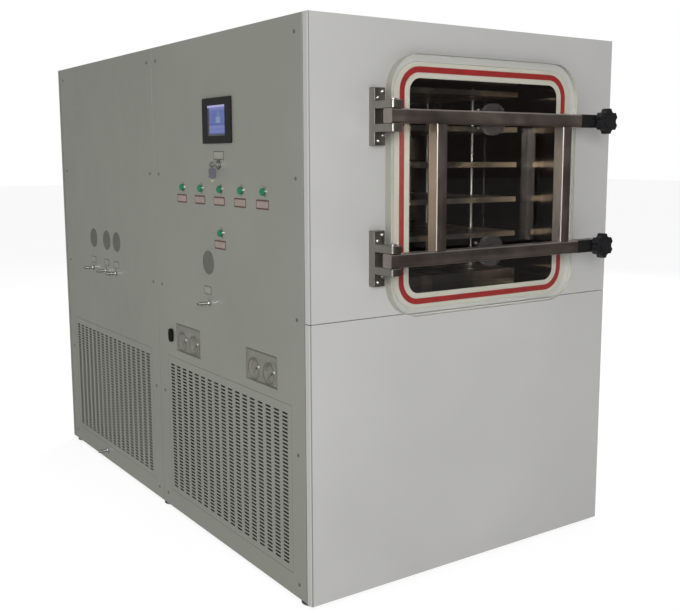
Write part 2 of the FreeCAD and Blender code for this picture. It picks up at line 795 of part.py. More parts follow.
def hinge_brackets():
    """Base plate on the front panel with two ears, bored for the hinge pin."""
    brackets = []
    half = hinge_plate_h / 2.0
    for z in bar_zs:
        plate = box(bars_left, bars_left + hinge_plate_w, -hinge_plate_t, 0.0, z - half, z + half)
        parts = [fillet_along(plate, "y", edge_r)]
        for side in (-1, 1):
            near = z + side * (bar / 2.0 + ear_gap)
            far = near + side * ear_t
            ear = box(bars_left, bars_left + ear_w, bar_mid_y - ear_over, 2.0 * ear_r - hinge_plate_t,
                      min(near, far), max(near, far))
            parts.append(fillet_along(ear, "z", ear_r))
        brackets.append(fused(parts).cut(rod("z", pin_r + hole_fit, hinge_plate_h, pin_x, bar_mid_y, z - half)))
    return brackets


def hinge_pins():
    """Headed pins, each through its bracket's two ears and the bar's solid end."""
    reach = bar / 2.0 + ear_gap + ear_t
    head_r = pin_r + pin_head
    profile = [(0, 0), (pin_r, 0), (pin_r, 2.0 * reach), (head_r, 2.0 * reach),
               (head_r, 2.0 * reach + pin_head), (0, 2.0 * reach + pin_head)]
    return [turned(profile, "z", pin_x, bar_mid_y, z - reach) for z in bar_zs]


def clamp_sockets():
    """Round posts on the front panel that take the clamp screws' noses."""
    sockets = []
    for z in bar_zs:
        body = rod("y", socket_r, socket_len, knob_cx, -socket_len, z)
        bore = rod("y", nose_r + nose_fit, nose_in + socket_spare, knob_cx, -socket_len, z)
        sockets.append(body.cut(bore))
    return sockets


def clamp_knob(z):
    """Lobed knob with a raised middle, its hub and the clamp screw with a turned-down nose."""
    lobe_t = knob_t - knob_face_t
    body = rod("y", knob_r, lobe_t, knob_cx, knob_back_y - lobe_t, z)
    step = 2.0 * math.pi / knob_lobes
    reach = knob_r + scallop_r - scallop_depth
    for i in range(knob_lobes):
        x = knob_cx + reach * math.sin(step * (i + 0.5))
        height = z + reach * math.cos(step * (i + 0.5))
        body = body.cut(rod("y", scallop_r, lobe_t + 2.0 * over, x, knob_back_y - lobe_t - over, height))
    nose_end = nose_in - socket_len
    nose_start = nose_end - nose_len
    parts = [
        fillet_along(body, "y", lobe_soft),
        rod("y", knob_face_r, knob_t, knob_cx, knob_back_y - knob_t, z),
        rod("y", knob_hub_r, hub_len, knob_cx, knob_back_y, z),
        rod("y", stud_r, nose_start - knob_back_y, knob_cx, knob_back_y, z),
        rod("y", nose_r, nose_len, knob_cx, nose_start, z),
    ]
    return fused(parts)


# ---------------------------------------------------------------- controls
def button_bezels():
    """Bezel ring and barrel of each push button."""
    bore = cap_r + cap_fit
    profile = [(bore, -bezel_t), (bezel_r, -bezel_t), (bezel_r, 0), (barrel_r, 0), (barrel_r, barrel_len),
               (0, barrel_len), (0, barrel_len - sheet), (bore, barrel_len - sheet)]
    return [turned(profile, "x", 0.0, y, z) for y, z in button_places]


def button_cap(place):
    """Push button with a bevelled edge."""
    edge = cap_sink - cap_travel - bezel_t
    profile = [(0, edge - cap_bevel), (cap_r - cap_bevel, edge - cap_bevel), (cap_r, edge),
               (cap_r, edge + cap_len), (0, edge + cap_len)]
    return turned(profile, "x", 0.0, place[0], place[1])


def key_switch():
    bore = key_plug_r + cap_fit
    profile = [(bore, -bezel_t), (key_bezel_r, -bezel_t), (key_bezel_r, 0), (key_barrel_r, 0),
               (key_barrel_r, barrel_len), (0, barrel_len), (0, barrel_len - sheet), (bore, barrel_len - sheet)]
    return turned(profile, "x", 0.0, key_y, key_z)


def switch_key():
    """The lock's plug, and the key in its slot: a flat blade and a round bow with a bevelled hole."""
    plug_end = barrel_len - 2.0 * sheet
    tip = key_in
    half = bow_t / 2.0
    slot = box(-bezel_t - over, tip, key_y - half - hole_fit, key_y + half + hole_fit,
               key_z - blade_half - hole_fit, key_z + blade_half + hole_fit)
    plug = rod("x", key_plug_r, plug_end + bezel_t, -bezel_t, key_y, key_z).cut(slot)
    blade = box(bow_x, tip - hole_fit, key_y - half, key_y + half, key_z - blade_half, key_z + blade_half)
    bow = rod("y", bow_r, bow_t, bow_x, key_y - half, key_z)
    key = fused([blade, bow]).cut(rod("y", bow_hole_r, 2.0 * bow_t, bow_x, key_y - bow_t, key_z))
    round_edges = [e for e in key.Edges if isinstance(e.Curve, Part.Circle)]
    rims = [e for e in round_edges if abs(e.Curve.Radius - bow_hole_r) < 1e-6]
    return [plug, key.makeChamfer(bow_rim, rims)]


def key_tag():
    """Split ring that hangs upright on the lower rim of the bow's hole, and a broad tag with a narrow tail."""
    half = tag_wire / 2.0
    middle = key_z - bow_hole_r + tag_gap + half - tag_ring_r
    ring = rod("x", tag_ring_r + half, tag_wire, bow_x - half, key_y, middle)
    ring = ring.cut(rod("x", tag_ring_r - half, tag_wire, bow_x - half, key_y, middle))
    hang = middle - tag_ring_r + half + tag_gap - tag_hole_r
    top = hang + 2.0 * tag_hole_r
    y0 = key_y - tag_t / 2.0
    y1 = key_y + tag_t / 2.0
    tail_top = top - tag_h + tail_w / 2.0
    parts = [
        rounded_plate("y", bow_x, top - tag_h / 2.0, tag_w, tag_h, 3.0, y0, y1),
        rounded_plate("y", bow_x, tail_top - (tail_h + tail_w / 2.0) / 2.0, tail_w, tail_h + tail_w / 2.0, 3.0,
                      y0, y1),
    ]
    return [ring, fused(parts).cut(rod("y", tag_hole_r, 2.0 * tag_t, bow_x, key_y - tag_t, hang))]


def panel_housing():
    """Touch panel: proud bezel, body behind the side panel, and a pocket for the screen."""
    bezel = rounded_plate("x", hmi_y, hmi_z, hmi_w, hmi_h, 4.0, -hmi_proud, 0.0)
    rim = hmi_rim + hole_fit
    body = rounded_plate("x", hmi_y, hmi_z, hmi_w - 2.0 * rim, hmi_h - 2.0 * rim, 2.0, 0.0, hmi_body)
    pocket = rounded_plate("x", hmi_y, hmi_z, screen_w + 2.0 * hole_fit, screen_h + 2.0 * hole_fit, 1.0,
                           -hmi_proud - over, screen_t + screen_in - hmi_proud)
    return fused([bezel, body]).cut(pocket)


def panel_screen():
    front = screen_in - hmi_proud
    return rounded_plate("x", hmi_y, hmi_z, screen_w, screen_h, 1.0, front, front + screen_t)


def gauge_centres():
    return [(y + side * gauge_pitch / 2.0, gauge_z) for y in window_ys for side in (-1, 1)]


def gauge_windows():
    return [rounded_plate("x", y, window_z, window_w, window_h, 3.0, 0.0, sheet) for y in window_ys]


def gauge_inserts():
    """Moulded insert behind each window: a shallow pocket with two rimmed wells, each with a pointer's axle."""
    inserts = []
    floor = sheet + gauge_pocket
    back = floor + gauge_well + sheet
    rim_front = sheet + 0.5
    for y in window_ys:
        body = rounded_plate("x", y, window_z, window_w + 2.0 * insert_edge, window_h + 2.0 * insert_edge, 3.0,
                             sheet, back)
        pocket = rounded_plate("x", y, window_z, window_w - 2.0 * insert_lip, window_h - 2.0 * insert_lip, 3.0,
                               0.0, floor)
        body = body.cut(pocket)
        for side in (-1, 1):
            mid = y + side * gauge_pitch / 2.0
            body = body.fuse(rod("x", gauge_r, floor - rim_front, rim_front, mid, gauge_z))
            body = body.cut(rod("x", gauge_r - gauge_rim, gauge_pocket + gauge_well, sheet, mid, gauge_z))
            body = body.fuse(rod("x", axle_r, gauge_well, floor, mid, gauge_z))
        inserts.append(body.removeSplitter())
    return inserts


def gauge_pointer(centre):
    """Pointer with its hub on the well's axle, at rest towards the lower left of the dial."""
    y, z = centre
    x = sheet + gauge_pocket + pointer_out
    length = gauge_r - gauge_rim - pointer_short
    outline = [vec(x, y - pointer_half, z), vec(x, y, z + length), vec(x, y + pointer_half, z),
               vec(x, y, z - pointer_tail), vec(x, y - pointer_half, z)]
    blade = Part.Face(Part.makePolygon(outline)).extrude(vec(pointer_t, 0, 0))
    body = rod("x", pointer_hub_r, 2.0 * pointer_t, x, y, z).fuse(blade)
    body = body.cut(rod("x", axle_r + pin_fit, 4.0 * pointer_t, x - pointer_t, y, z))
    body.rotate(vec(x, y, z), AXES["x"], -pointer_start)
    return body


def cable_grommet():
    plate = rounded_plate("x", grommet[0], grommet[1], grommet_w, grommet_h, round_end(grommet_w),
                          -grommet_t, 0.0)
    neck_w = grommet_w - 2.0 * grommet_lip
    neck_h = grommet_h - 2.0 * grommet_lip
    neck = rounded_plate("x", grommet[0], grommet[1], neck_w, neck_h, round_end(neck_w), 0.0, 2.0 * grommet_t)
    return fused([plate, neck])


def hose_nozzles():
    """Turned nozzles with a hexagon against the panel."""
    pieces = []
    for y, z in (front_nozzle,) + rear_nozzles + (drain_nozzle,):
        stem = rod("x", nozzle_r, nozzle_len + nozzle_in, -nozzle_len, y, z)
        stem = stem.makeChamfer(1.0, [e for e in stem.Edges if abs(e.BoundBox.XMax + nozzle_len) < 1e-6])
        corner = nozzle_nut / math.sqrt(3.0)
        ring = [vec(-nozzle_nut_t, y + corner * math.cos(math.radians(60 * i)),
                    z + corner * math.sin(math.radians(60 * i))) for i in range(7)]
        nut = Part.Face(Part.makePolygon(ring)).extrude(vec(nozzle_nut_t, 0, 0))
        bore = rod("x", nozzle_bore_r, 2.0 * nozzle_len, -nozzle_len - over, y, z)
        pieces.append(stem.fuse(nut).cut(bore).removeSplitter())
    return pieces


def round_covers():
    """Flat round covers on the left side, each held by a plug with a snap rim behind the sheet."""
    profile = [(0, -cover_t), (cover_r - cover_bevel, -cover_t), (cover_r, cover_bevel - cover_t), (cover_r, 0),
               (plug_r, 0), (plug_r, sheet + hole_fit), (plug_r + plug_snap, sheet + 2.0 * plug_snap),
               (plug_r - plug_snap, plug_len), (0, plug_len)]
    return [turned(profile, "x", 0.0, y, z) for y, z in (front_cover,) + rear_covers]


# ---------------------------------------------------------------- inside the cabinet
def cold_trap():
    """Insulated drum with its vapour duct, a domed end, saddles on the rails and a suction collar."""
    end = duct_len + trap_len
    inner_r = trap_r - trap_lag
    outside = [(port_r, 0), (port_r + duct_wall, 0), (port_r + duct_wall, duct_len), (trap_r, duct_len)]
    inside = [(0, end - trap_lag), (inner_r, end - trap_lag), (inner_r, duct_len + trap_lag),
              (port_r, duct_len + trap_lag)]
    profile = outside + dished(trap_r, end, trap_dome) + inside
    parts = [turned(profile, "y", door_cx, chamber_rear, door_cz)]
    skin = trap_r - over
    half = chamber_rail_half + rail_w / 2.0
    for y in saddle_ys:
        saddle = box(door_cx - half, door_cx + half, y, y + saddle_t,
                     chamber_rail_top, door_cz - trap_r + saddle_up)
        parts.append(saddle.cut(rod("y", skin, saddle_t, door_cx, y, door_cz)))
    collar = rod("z", boss_r, trap_lag, door_cx, pump_y, door_cz - trap_r - boss_drop)
    parts.append(collar.cut(rod("y", skin, 2.0 * boss_r, door_cx, pump_y - boss_r, door_cz)))
    return fused(parts)


def pump_top():
    return pan_top + pump_plate_t + pump_block


def vacuum_pump():
    """Pump block and its motor on a base plate, with the inlet neck on top."""
    z = pan_top + pump_plate_t
    front = pump_y - pump_port_in
    motor_front = front + pump_block_len
    plate_len = pump_block_len + motor_len + 3.0 * pump_margin
    foot_y = motor_front + (motor_len - motor_foot_len) / 2.0
    parts = [
        box(door_cx - pump_plate_w / 2.0, door_cx + pump_plate_w / 2.0, front - pump_margin,
            front - pump_margin + plate_len, pan_top, z),
        rounded_plate("y", door_cx, z + pump_block / 2.0, pump_block, pump_block, pump_block_r,
                      front, motor_front),
        rod("y", motor_r, motor_len, door_cx, motor_front, z + pump_block / 2.0),
        box(door_cx - motor_foot_w / 2.0, door_cx + motor_foot_w / 2.0, foot_y, foot_y + motor_foot_len,
            z, z + motor_foot_h),
        rod("z", boss_r, pump_neck + over, door_cx, pump_y, pump_top() - over),
    ]
    return fused(parts)


def suction_pipe():
    z0 = pump_top() + pump_neck
    return rod("z", pipe_r, door_cz - trap_r - boss_drop - z0, door_cx, pump_y, z0)


def compressors():
    """Two hermetic compressors with dished shells, each on its skid."""
    profile = [(0, shell_foot), (shell_base_r, shell_foot), (shell_r, shell_low)]
    profile += dished(shell_r, shell_high, shell_dome)
    units = []
    for y in compressor_ys:
        skid = box(compressor_x - skid_w / 2.0, compressor_x + skid_w / 2.0, y - skid_d / 2.0, y + skid_d / 2.0,
                   pan_top, pan_top + skid_t)
        units.append(fused([turned(profile, "z", compressor_x, y, pan_top), skid]))
    return units


def condensers():
    """Finned core with a fan shroud and the fan's motor on three arms, behind each vent cover."""
    units = []
    face = coil_x + coil_t
    end = face + shroud_d
    bore = fan_r + fan_gap
    z = vent_z + vent_h / 2.0
    for span in side_spans():
        y = vent_middle(span)
        half = vent_width(span) / 2.0 - coil_in
        ring = rod("x", bore + shroud_wall, shroud_d, face, y, z).cut(rod("x", bore, shroud_d, face, y, z))
        parts = [box(coil_x, face, y - half, y + half, pan_top, pan_top + coil_h), ring]
        parts.append(rod("x", fan_motor_r, fan_motor_len, end - arm_t, y, z))
        for i in range(3):
            arm = box(end - arm_t, end, y - arm_w / 2.0, y + arm_w / 2.0, z + fan_motor_r - 2.0 * over,
                      z + bore + shroud_wall / 2.0)
            arm.rotate(vec(0, y, z), AXES["x"], 120.0 * i + 90.0)
            parts.append(arm)
        parts.append(rod("x", fan_shaft_r, end - arm_t - face - fan_shaft_r, face + fan_shaft_r, y, z))
        units.append(fused(parts))
    return units


def fan(span):
    """Hub and pitched blades, on the motor's shaft."""
    y = vent_middle(span)
    z = vent_z + vent_h / 2.0
    mid = coil_x + coil_t + (shroud_d - arm_t) / 2.0
    root = fan_hub_r - 4.0
    parts = [rod("x", fan_hub_r, fan_w, mid - fan_w / 2.0, y, z)]
    for i in range(fan_blades):
        blade = box(mid - blade_t / 2.0, mid + blade_t / 2.0, y - blade_w / 2.0, y + blade_w / 2.0,
                    z + root, z + fan_r)
        blade.rotate(vec(mid, y, z), AXES["z"], fan_pitch)
        blade.rotate(vec(mid, y, z), AXES["x"], 360.0 / fan_blades * i)
        parts.append(blade.common(rod("x", fan_r, shroud_d, mid - shroud_d / 2.0, y, z)))
    return fused(parts).cut(rod("x", fan_shaft_r + pin_fit, shroud_d, mid - shroud_d / 2.0, y, z))


def oil_tank():
    """Silicone oil tank with its circulation pump and filler lid on top."""
    x = cab_w - tank_right
    top = pan_top + tank_h
    rear = tank_front_y + tank_len
    parts = [
        rounded_plate("y", x, pan_top + tank_h / 2.0, tank_w, tank_h, tank_r, tank_front_y, rear),
        rod("z", oil_pump_r, oil_pump_h, x, tank_front_y + oil_pump_in, top),
        box(x - lid / 2.0, x + lid / 2.0, rear - lid_in - lid, rear - lid_in, top, top + lid_t),
    ]
    return fused(parts)


def electrical_box():
    """Closed box on the two rails behind the touch panel, clear of the chamber's ribs."""
    x0 = tray_depth + rail_w
    x1 = door_cx - opening_w / 2.0 - chamber_wall - rib_h - box_clear
    mid_z = (box_rail_zs[0] + box_rail_zs[1] + box_rail_h) / 2.0
    return rounded_plate("x", hmi_y, mid_z, box_w, box_h, box_r, x0, x1)


# ---------------------------------------------------------------- writing the nodes
def build():
    os.makedirs("parts", exist_ok=True)
    spans = side_spans()
    save("cabinet_frame", cabinet_frame())
    save("floor_pan", floor_pan())
    save("levelling_feet", levelling_feet())
    save("front_panel_upper", front_panel_upper())
    save("front_panel_lower", front_panel_lower())
    save("rear_panel", rear_panel())
    save("left_panel_front", left_panel_front())
    save("left_panel_rear", left_panel_rear())
    save("right_panel_front", mirror_x(side_panel(spans[0]), cab_w / 2.0))
    save("right_panel_rear", mirror_x(side_panel(spans[1]), cab_w / 2.0))
    save("vent_covers", vent_covers())
    save("roof_panels", roof_panels())
    save("chamber", chamber())
    save("door_seal", door_seal())
    save("shelves", shelves())
    save("shelf_posts", shelf_posts())
    save("bottom_plate", bottom_plate())
    save("oil_manifold", oil_manifold())
    save("cold_trap", cold_trap())
    save("vacuum_pump", vacuum_pump())
    save("suction_pipe", suction_pipe())
    save("compressors", compressors())
    save("condensers", condensers())
    save("fan_front", fan(spans[0]))
    save("fan_rear", fan(spans[1]))
    save("oil_tank", oil_tank())
    save("electrical_box", electrical_box())
    save("door_plate", door_plate())
    save("door_frame", door_frame())
    save("door_pads", door_pads())
    save("clamp_arms", clamp_arms())
    save("hinge_brackets", hinge_brackets())
    save("hinge_pins", hinge_pins())
    save("clamp_sockets", clamp_sockets())
    save("knob_upper", clamp_knob(bar_zs[0]))
    save("knob_lower", clamp_knob(bar_zs[1]))
    save("button_bezels", button_bezels())
    for i, place in enumerate(button_places):
        save("button_%d" % (i + 1), button_cap(place))
    save("key_switch", key_switch())
    save("switch_key", switch_key())
    save("key_tag", key_tag())
    save("panel_housing", panel_housing())
    save("panel_screen", panel_screen())
    save("gauge_windows", gauge_windows())
    save("gauge_inserts", gauge_inserts())
    for i, centre in enumerate(gauge_centres()):
        save("gauge_pointer_%d" % (i + 1), gauge_pointer(centre))
    save("cable_grommet", cable_grommet())
    save("hose_nozzles", hose_nozzles())
    save("round_covers", round_covers())


build()
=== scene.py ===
import json
import math

import bmesh
import bpy
from mathutils import Matrix, Vector


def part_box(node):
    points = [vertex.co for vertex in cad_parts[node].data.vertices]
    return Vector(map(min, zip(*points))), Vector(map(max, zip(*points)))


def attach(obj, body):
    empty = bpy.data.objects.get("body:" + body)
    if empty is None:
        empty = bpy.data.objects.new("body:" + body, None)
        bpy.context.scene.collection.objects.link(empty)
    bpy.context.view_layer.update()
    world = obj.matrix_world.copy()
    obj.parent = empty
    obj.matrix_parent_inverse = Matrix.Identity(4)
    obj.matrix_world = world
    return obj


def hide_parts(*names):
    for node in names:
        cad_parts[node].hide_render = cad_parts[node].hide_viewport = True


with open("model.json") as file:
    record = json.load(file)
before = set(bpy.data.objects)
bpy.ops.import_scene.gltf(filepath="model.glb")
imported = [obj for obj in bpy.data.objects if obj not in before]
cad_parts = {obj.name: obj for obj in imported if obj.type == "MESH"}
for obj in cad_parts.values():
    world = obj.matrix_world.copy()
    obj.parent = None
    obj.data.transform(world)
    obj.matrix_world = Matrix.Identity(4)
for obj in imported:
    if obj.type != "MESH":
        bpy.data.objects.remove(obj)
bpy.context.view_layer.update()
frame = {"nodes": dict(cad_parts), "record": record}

MM = 0.001
UP = Vector((0, 0, 1))
nodes = frame["nodes"]

# ---------------------------------------------------------------- places taken from the frame
side_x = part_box("left_panel_front")[0].x                 # outer face of the control side
front_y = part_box("front_panel_upper")[0].y               # outer face of the front panels


def centre(node):
    """Middle of a node's box."""
    lo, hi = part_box(node)
    return (lo + hi) / 2


def solids_of(node):
    """Boxes of a node's separate solids, found from its connected vertices."""
    bm = bmesh.new()
    bm.from_mesh(nodes[node].data)
    bmesh.ops.remove_doubles(bm, verts=bm.verts, dist=1e-6)
    seen, boxes = set(), []
    for start in bm.verts:
        if start in seen:
            continue
        stack, lo, hi = [start], start.co.copy(), start.co.copy()
        seen.add(start)
        while stack:
            vert = stack.pop()
            lo = Vector(map(min, lo, vert.co))
            hi = Vector(map(max, hi, vert.co))
            for edge in vert.link_edges:
                other = edge.other_vert(vert)
                if other not in seen:
                    seen.add(other)
                    stack.append(other)
        boxes.append((lo, hi))
    bm.free()
    return boxes


# ---------------------------------------------------------------- shader helpers
# noise scales that draw the grain out along one axis
ALONG_X, ALONG_Z = (0.04, 1.0, 1.0), (1.0, 1.0, 0.04)
VESSEL_GRAIN = (1.0, 0.06, 1.0)


def new_material(name):
    """A new material, its node tree and its shader."""
    mat = bpy.data.materials.new(name)
    mat.use_nodes = True
    tree = mat.node_tree
    return mat, tree, tree.nodes["Principled BSDF"]


def coords(tree, stretch=(1.0, 1.0, 1.0)):
    """Object coordinates, which are metres in the part's own frame, scaled by stretch."""
    source = tree.nodes.new("ShaderNodeTexCoord")
    mapping = tree.nodes.new("ShaderNodeMapping")
    mapping.inputs["Scale"].default_value = stretch
    tree.links.new(source.outputs["Object"], mapping.inputs["Vector"])
    return mapping.outputs["Vector"]


def along(tree, axis):
    """The surface point's place along one axis, in metres."""
    split = tree.nodes.new("ShaderNodeSeparateXYZ")
    tree.links.new(coords(tree), split.inputs["Vector"])
    return split.outputs[axis]


def noise(tree, scale, detail, stretch=(1.0, 1.0, 1.0)):
    """Smooth random values, most of them between 0.3 and 0.7."""
    node = tree.nodes.new("ShaderNodeTexNoise")
    node.inputs["Scale"].default_value = scale
    node.inputs["Detail"].default_value = detail
    tree.links.new(coords(tree, stretch), node.inputs["Vector"])
    return node.outputs["Fac"]


def spread(tree, value, low, high, start=0.3, end=0.7):
    """Maps value from start..end onto low..high."""
    node = tree.nodes.new("ShaderNodeMapRange")
    node.inputs["From Min"].default_value = start
    node.inputs["From Max"].default_value = end
    node.inputs["To Min"].default_value = low
    node.inputs["To Max"].default_value = high
    tree.links.new(value, node.inputs["Value"])
    return node.outputs["Result"]


def arithmetic(tree, operation, *values):
    node = tree.nodes.new("ShaderNodeMath")
    node.operation = operation
    for plug, value in zip(node.inputs, values):
        tree.links.new(value, plug)
    return node.outputs["Value"]


def both(tree, first, second):
    """1 where both masks are 1."""
    return arithmetic(tree, "MULTIPLY", first, second)


def inside(tree, value, low, high, soft):
    """1 where value lies between low and high, falling to 0 over soft on each side of both ends."""
    rise = spread(tree, value, 0.0, 1.0, low - soft, low + soft)
    fall = spread(tree, value, 1.0, 0.0, high - soft, high + soft)
    return both(tree, rise, fall)


def face_towards(tree, axis, start, end):
    """1 where the surface's own normal lies along an object axis, 0 where it is square to it."""
    source = tree.nodes.new("ShaderNodeTexCoord")
    split = tree.nodes.new("ShaderNodeSeparateXYZ")
    tree.links.new(source.outputs["Normal"], split.inputs["Vector"])
    return spread(tree, arithmetic(tree, "ABSOLUTE", split.outputs[axis]), 0.0, 1.0, start, end)


def between(tree, factor, first, second):
    """A colour that runs from first to second with factor."""
    node = tree.nodes.new("ShaderNodeMix")
    node.data_type = "RGBA"
    node.inputs["A"].default_value = (*first, 1.0)
    node.inputs["B"].default_value = (*second, 1.0)
    tree.links.new(factor, node.inputs["Factor"])
    return node.outputs["Result"]


def over(tree, base, mask, colour):
    """Lays a colour over base where mask is 1."""
    node = tree.nodes.new("ShaderNodeMix")
    node.data_type = "RGBA"
    node.inputs["B"].default_value = (*colour, 1.0)
    tree.links.new(mask, node.inputs["Factor"])
    tree.links.new(base, node.inputs["A"])
    return node.outputs["Result"]


def repaint(tree, mask, colour):
    """Lays a colour over what a material's base colour already is, where mask is 1."""
    plug = tree.nodes["Principled BSDF"].inputs["Base Color"]
    tree.links.new(over(tree, plug.links[0].from_socket, mask, colour), plug)


def override(tree, socket, mask, value):
    """Sets a shader number to value where mask is 1."""
    plug = tree.nodes["Principled BSDF"].inputs[socket]
    node = tree.nodes.new("ShaderNodeMix")
    node.inputs["B"].default_value = value
    if plug.links:
        tree.links.new(plug.links[0].from_socket, node.inputs["A"])
    else:
        node.inputs["A"].default_value = plug.default_value
    tree.links.new(mask, node.inputs["Factor"])
    tree.links.new(node.outputs["Result"], plug)


def add_bump(tree, height, strength, distance):
    """Relief that follows height, with distance as its depth in metres."""
    node = tree.nodes.new("ShaderNodeBump")
    node.inputs["Strength"].default_value = strength
    node.inputs["Distance"].default_value = distance
    tree.links.new(height, node.inputs["Height"])
    tree.links.new(node.outputs["Normal"], tree.nodes["Principled BSDF"].inputs["Normal"])


def shaded(colour, factor):
    return tuple(c * factor for c in colour)


def drifting(tree, scale, detail, colour, low, high):
    """Base colour that wanders between two shades of itself."""
    drift = spread(tree, noise(tree, scale, detail), 0.0, 1.0)
    plug = tree.nodes["Principled BSDF"].inputs["Base Color"]
    tree.links.new(between(tree, drift, shaded(colour, low), shaded(colour, high)), plug)


def uneven(tree, scale, detail, low, high):
    """Roughness that wanders between two values."""
    plug = tree.nodes["Principled BSDF"].inputs["Roughness"]
    tree.links.new(spread(tree, noise(tree, scale, detail), low, high), plug)


# ---------------------------------------------------------------- kinds of material
# noises: cells to a metre, and detail
SLOW_DRIFT, PAINT_GLOSS, ORANGE_PEEL = (1.7, 3.0), (9.0, 6.0), (420.0, 2.0)
STREAKS, HANDLING, CLOUDS = (60.0, 5.0), (14.0, 6.0), (7.0, 3.0)
PLASTIC_DRIFT, PLASTIC_GLOSS, PLASTIC_GRAIN = (25.0, 4.0), (60.0, 3.0), 900.0
HAZE, HAZE_DRIFT = (30.0, 4.0), (18.0, 3.0)
# the first two set the streaks of the door frame's painted reflection and the shelves' painted highlight
# patches
REFLECTION_STREAKS, SHELF_GLINTS, PAGE_CLOUD = (40.0, 4.0), (9.0, 2.0), (60.0, 3.0)
FLOOR_DRIFT = (0.8, 2.0)

PEEL_DEPTH, GRAIN_DEPTH = 0.4 * MM, 0.2 * MM
GRAIN_TURN = 0.5 * MM                       # over which the grain changes its way
COAT_ROUGH = 0.22
BRUSH_DARK, BRUSH_PALE = 0.88, 1.08         # shades of the streaks in brushed steel
CLOUD_TINT = (1.75, 1.62, 1.52)             # how much paler the clouds on it are, in each channel


def paint(name, colour, rough, coat=0.0, peel=0.15, drift=0.05):
    """Stoved paint: slow drift of tone, fine orange peel, and a little uneven gloss."""
    mat, tree, bsdf = new_material(name)
    drifting(tree, *SLOW_DRIFT, colour, 1.0 - drift, 1.0 + drift)
    uneven(tree, *PAINT_GLOSS, rough - 0.04, rough + 0.05)
    bsdf.inputs["Coat Weight"].default_value = coat
    bsdf.inputs["Coat Roughness"].default_value = COAT_ROUGH
    add_bump(tree, noise(tree, *ORANGE_PEEL), peel, PEEL_DEPTH)
    return mat


def brushed(name, colour, rough, stretch, depth=0.12, smear=0.10, cloud=0.0, upright=None):
    """Ground or rolled steel: streaks along one axis in tone, gloss and relief, with faint handling marks."""
    mat, tree, bsdf = new_material(name)
    grain = noise(tree, *STREAKS, stretch)
    if upright:      # between these heights the grain runs upwards instead
        mix = tree.nodes.new("ShaderNodeMix")
        tree.links.new(inside(tree, along(tree, "Z"), *upright, GRAIN_TURN), mix.inputs["Factor"])
        tree.links.new(grain, mix.inputs["A"])
        tree.links.new(noise(tree, *STREAKS, ALONG_Z), mix.inputs["B"])
        grain = mix.outputs["Result"]
    bsdf.inputs["Metallic"].default_value = 1.0
    streaked = spread(tree, grain, 0.0, 1.0)
    tone = between(tree, streaked, shaded(colour, BRUSH_DARK), shaded(colour, BRUSH_PALE))
    tree.links.new(tone, bsdf.inputs["Base Color"])
    if cloud:
        patches = spread(tree, noise(tree, *CLOUDS), 0.0, cloud)
        repaint(tree, patches, tuple(c * tint for c, tint in zip(colour, CLOUD_TINT)))
    gloss = spread(tree, grain, rough - 0.05, rough + 0.07)
    marks = spread(tree, noise(tree, *HANDLING), -smear / 2, smear / 2)
    tree.links.new(arithmetic(tree, "ADD", gloss, marks), bsdf.inputs["Roughness"])
    add_bump(tree, grain, depth, GRAIN_DEPTH)
    return mat


def moulded(name, colour, rough, grain_scale=PLASTIC_GRAIN, grain=0.2, gloss=0.5):
    """Moulded plastic or rubber with a fine grain and slightly uneven tone."""
    mat, tree, bsdf = new_material(name)
    bsdf.inputs["Specular IOR Level"].default_value = gloss
    drifting(tree, *PLASTIC_DRIFT, colour, 0.9, 1.1)
    uneven(tree, *PLASTIC_GLOSS, rough - 0.06, rough + 0.06)
    add_bump(tree, noise(tree, grain_scale, detail=2.0), grain, GRAIN_DEPTH)
    return mat


ACRYLIC_IOR = 1.49
POLISHED, SAWN = 0.015, 0.45                # roughness of a clear plate's faces and of its edges
SAWN_CLEAR = 0.25                           # how much light the sawn edges let through


def clear_plate(name, tint, edge, axis):
    """Clear cast acrylic: polished faces square to axis, and sawn edges that look frosted."""
    mat, tree, bsdf = new_material(name)
    bsdf.inputs["IOR"].default_value = ACRYLIC_IOR
    face = face_towards(tree, axis, 0.80, 0.99)
    tree.links.new(spread(tree, face, SAWN_CLEAR, 1.0, 0.0, 1.0), bsdf.inputs["Transmission Weight"])
    tree.links.new(spread(tree, face, SAWN, POLISHED, 0.0, 1.0), bsdf.inputs["Roughness"])
    tree.links.new(between(tree, face, edge, tint), bsdf.inputs["Base Color"])
    return mat


def frosted(name, colour, rough, through):
    """Hazy clear plastic that scatters what lies behind it."""
    mat, tree, bsdf = new_material(name)
    bsdf.inputs["Transmission Weight"].default_value = through
    bsdf.inputs["IOR"].default_value = ACRYLIC_IOR
    uneven(tree, *HAZE, rough - 0.05, rough + 0.08)
    drifting(tree, *HAZE_DRIFT, colour, 0.9, 1.0)
    return mat


# ---------------------------------------------------------------- materials of single nodes
FLANGE_DEPTH = 12.0 * MM                    # painted part of the chamber, behind the front panels' face
FLANGE_FADE = 0.5 * MM
FLANGE_ROUGH = 0.4
BAR = 38.0 * MM                             # the door frame's square tube
REFLECTION_INSET = 50.0 * MM                     # from the door plate's left edge to the start of the painted reflection
REFLECTION_FADE = 10.0 * MM
RIGHT_REFLECTION = 0.12                          # what is left of the painted reflection on the right upright
RETURN_DEPTH, HIGHLIGHT_EDGE = 5.0 * MM, 1.6 * MM     # left return strip of the front panels, and the painted highlight along its very edge
RETURN_FADE = 0.8 * MM
# tone of the painted highlight on the edge, as a shade of the front paint
HIGHLIGHT_SHADE = 0.8
SHELF_DULL = 0.55                           # share of a shelf's width left dull, without the painted reflection
GLINT_SHADE = 0.7                           # painted highlight patches, as a shade of the painted reflection's warm tone
TAIL_TOP, TAIL_FADE = 9.0 * MM, 1.0 * MM    # bare end of the key's tag, up from its foot
TAG_BODY, TAG_TAIL = (0.115, 0.110, 0.130), (0.33, 0.33, 0.21)


